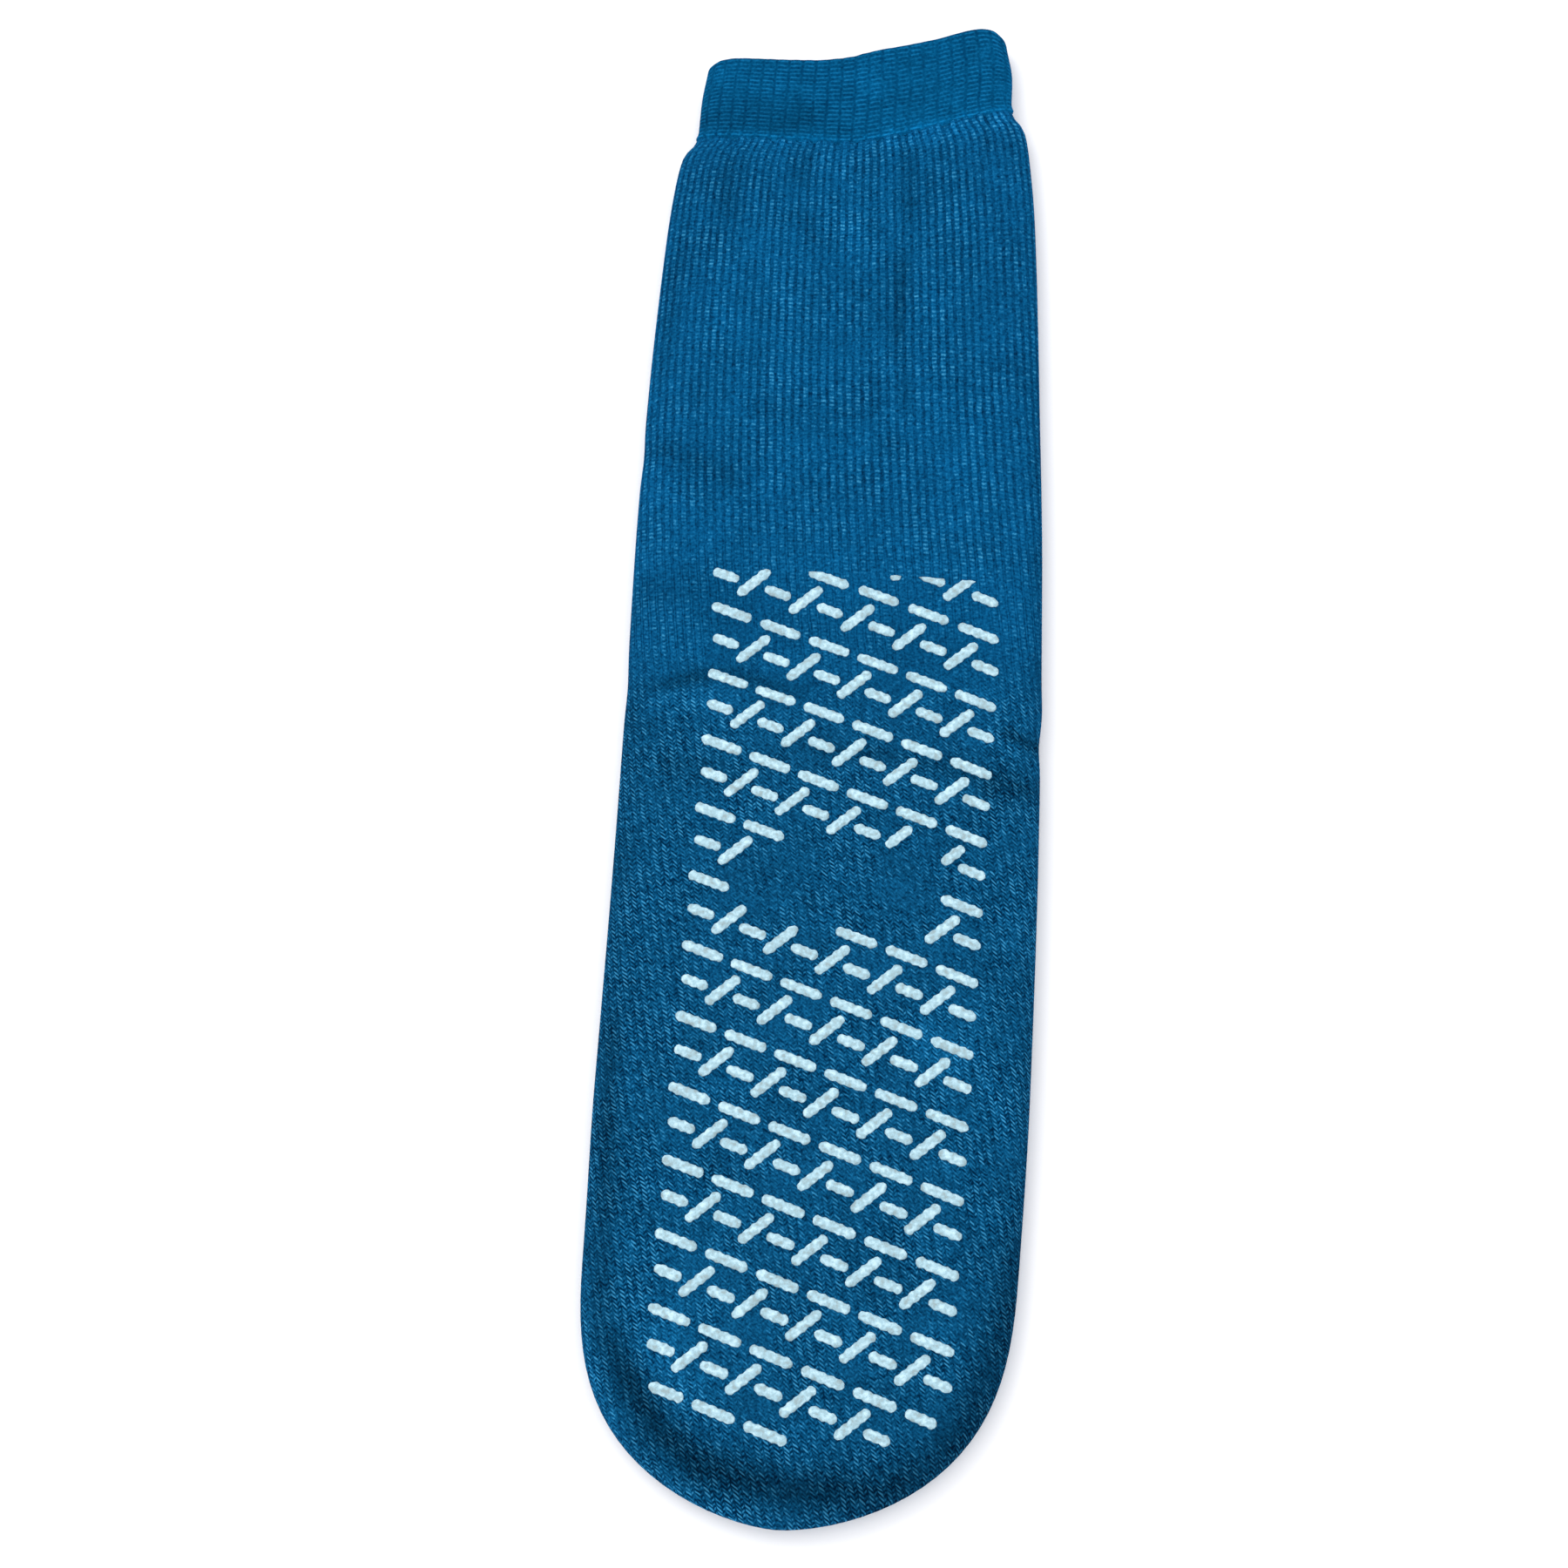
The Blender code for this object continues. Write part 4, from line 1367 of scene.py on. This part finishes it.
    def build(self, vinyl: Material) -> Object:
        """Makes the print.

        Args:
            vinyl: its material.

        Returns:
            The piece, with every dash closed underneath.
        """
        whole = bmesh.new()
        rise_layer = whole.verts.layers.float.new("rise")
        for number, dash in enumerate(self.dashes()):
            slices = self.slices if dash[4] - dash[3] > self.short_run else self.short_slices
            made = bmesh.ops.create_grid(whole, x_segments=slices, y_segments=self.ribs, size=1.0)["verts"]
            along, across, _ = np.array([v.co for v in made], dtype=float).T
            # the rows stand closer together at the ends and at the sides, where the dash curves
            points, rise = self.dash_points(dash, np.sin(along * math.pi / 2.0) * 0.35 + along * 0.65,
                                            np.sin(across * math.pi / 2.0), number)
            for vert, point, value in zip(made, points, rise):
                vert.co = point
                vert[rise_layer] = value
        bmesh.ops.holes_fill(whole, edges=[edge for edge in whole.edges if edge.is_boundary], sides=0)
        bmesh.ops.recalc_face_normals(whole, faces=whole.faces)
        mesh = to_mesh(whole, "grip_print")
        mesh.materials.append(vinyl)
        mesh.shade_smooth()
        return add_object("grip_print", mesh)


@dataclass
class Studio:
    """The pale floor, the soft lights and the camera at the photograph's angle."""

    floor_size: float = 6.0
    sensor_width: float = 36.0
    half_view: float = math.radians(15.0)
    nearest: float = 0.02
    eye: Triple = (0.0688, -0.2327, 0.7417)
    right: Triple = (0.99308, 0.08205, -0.08402)
    up: Triple = (-0.05473, 0.95635, 0.28707)
    back: Triple = (0.10391, -0.28048, 0.95422)
    sky_color: str = "#fdfdff"
    sky_strength: float = 1.235
    key_power: float = 9.5
    key_size: float = 1.5
    key_place: Triple = (-1.05, 0.95, 1.35)

    def lay_floor(self, paper: Material) -> None:
        """Lays the floor under the sock.

        Args:
            paper: the floor's material.
        """
        shape = bmesh.new()
        bmesh.ops.create_grid(shape, x_segments=8, y_segments=8, size=self.floor_size / 2.0)
        mesh = to_mesh(shape, "floor")
        mesh.materials.append(paper)
        floor = add_object("floor", mesh)

    def hang_lights(self) -> None:
        """Sets an even pale sky and one large soft light from the upper left."""
        world = bpy.data.worlds.new("studio_sky")
        world.use_nodes = True
        sky = world.node_tree.nodes["Background"]
        sky.inputs["Color"].default_value = linear(self.sky_color)
        sky.inputs["Strength"].default_value = self.sky_strength
        bpy.context.scene.world = world
        lamp = bpy.data.lights.new("soft_key", "AREA")
        lamp.energy = self.key_power
        lamp.shape = "DISK"
        lamp.size = self.key_size
        aim = (-Vector(self.key_place)).to_track_quat("-Z", "Y").to_matrix().to_4x4()
        add_object("soft_key", lamp).matrix_world = Matrix.Translation(self.key_place) @ aim

    def place_camera(self) -> None:
        """Places the camera as the photograph was taken."""
        lens = bpy.data.cameras.new("photo_view")
        lens.lens = self.sensor_width / 2.0 / math.tan(self.half_view)
        lens.sensor_width = self.sensor_width
        lens.clip_start = self.nearest
        camera = add_object("photo_view", lens)
        axes = Matrix((self.right, self.up, self.back)).transposed().to_4x4()
        camera.matrix_world = Matrix.Translation(self.eye) @ axes
        bpy.context.scene.camera = camera

    def set_tones(self) -> None:
        """Shows colours as they are, with no film curve."""
        view = bpy.context.scene.view_settings
        view.view_transform, view.look = "Standard", "None"
        view.exposure, view.gamma = 0.0, 1.0


def report(piece: Object) -> None:
    """Logs a piece's triangles and size."""
    triangles = sum(len(face.vertices) - 2 for face in piece.data.polygons)
    LOG.info("%s: %d triangles, %s m", piece.name, triangles, [round(side, 4) for side in piece.dimensions])


def main() -> None:
    """Builds the sock's pieces and the studio round it."""
    logging.basicConfig(level=logging.INFO, format="%(name)s: %(message)s")
    form = SockForm()
    relief = ClothRelief(form)
    tube = KnittedTube(form, relief).build(TerryKnit().material(), TerryLoops().material())
    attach(tube, "root")
    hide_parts("knitted_tube")
    report(tube)
    cuff = RibCuff(form).build(MockRib().material())
    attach(cuff, "root")
    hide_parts("rib_cuff")
    report(cuff)
    dashes = GripPrint(form, relief).build(PuffVinyl().material())
    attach(dashes, "root")
    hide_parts("knitted_tube")
    report(dashes)
    studio = Studio()
    studio.lay_floor(PaperSweep().material())
    studio.hang_lights()
    studio.place_camera()
    studio.set_tones()


if __name__ == "__main__":
    main()
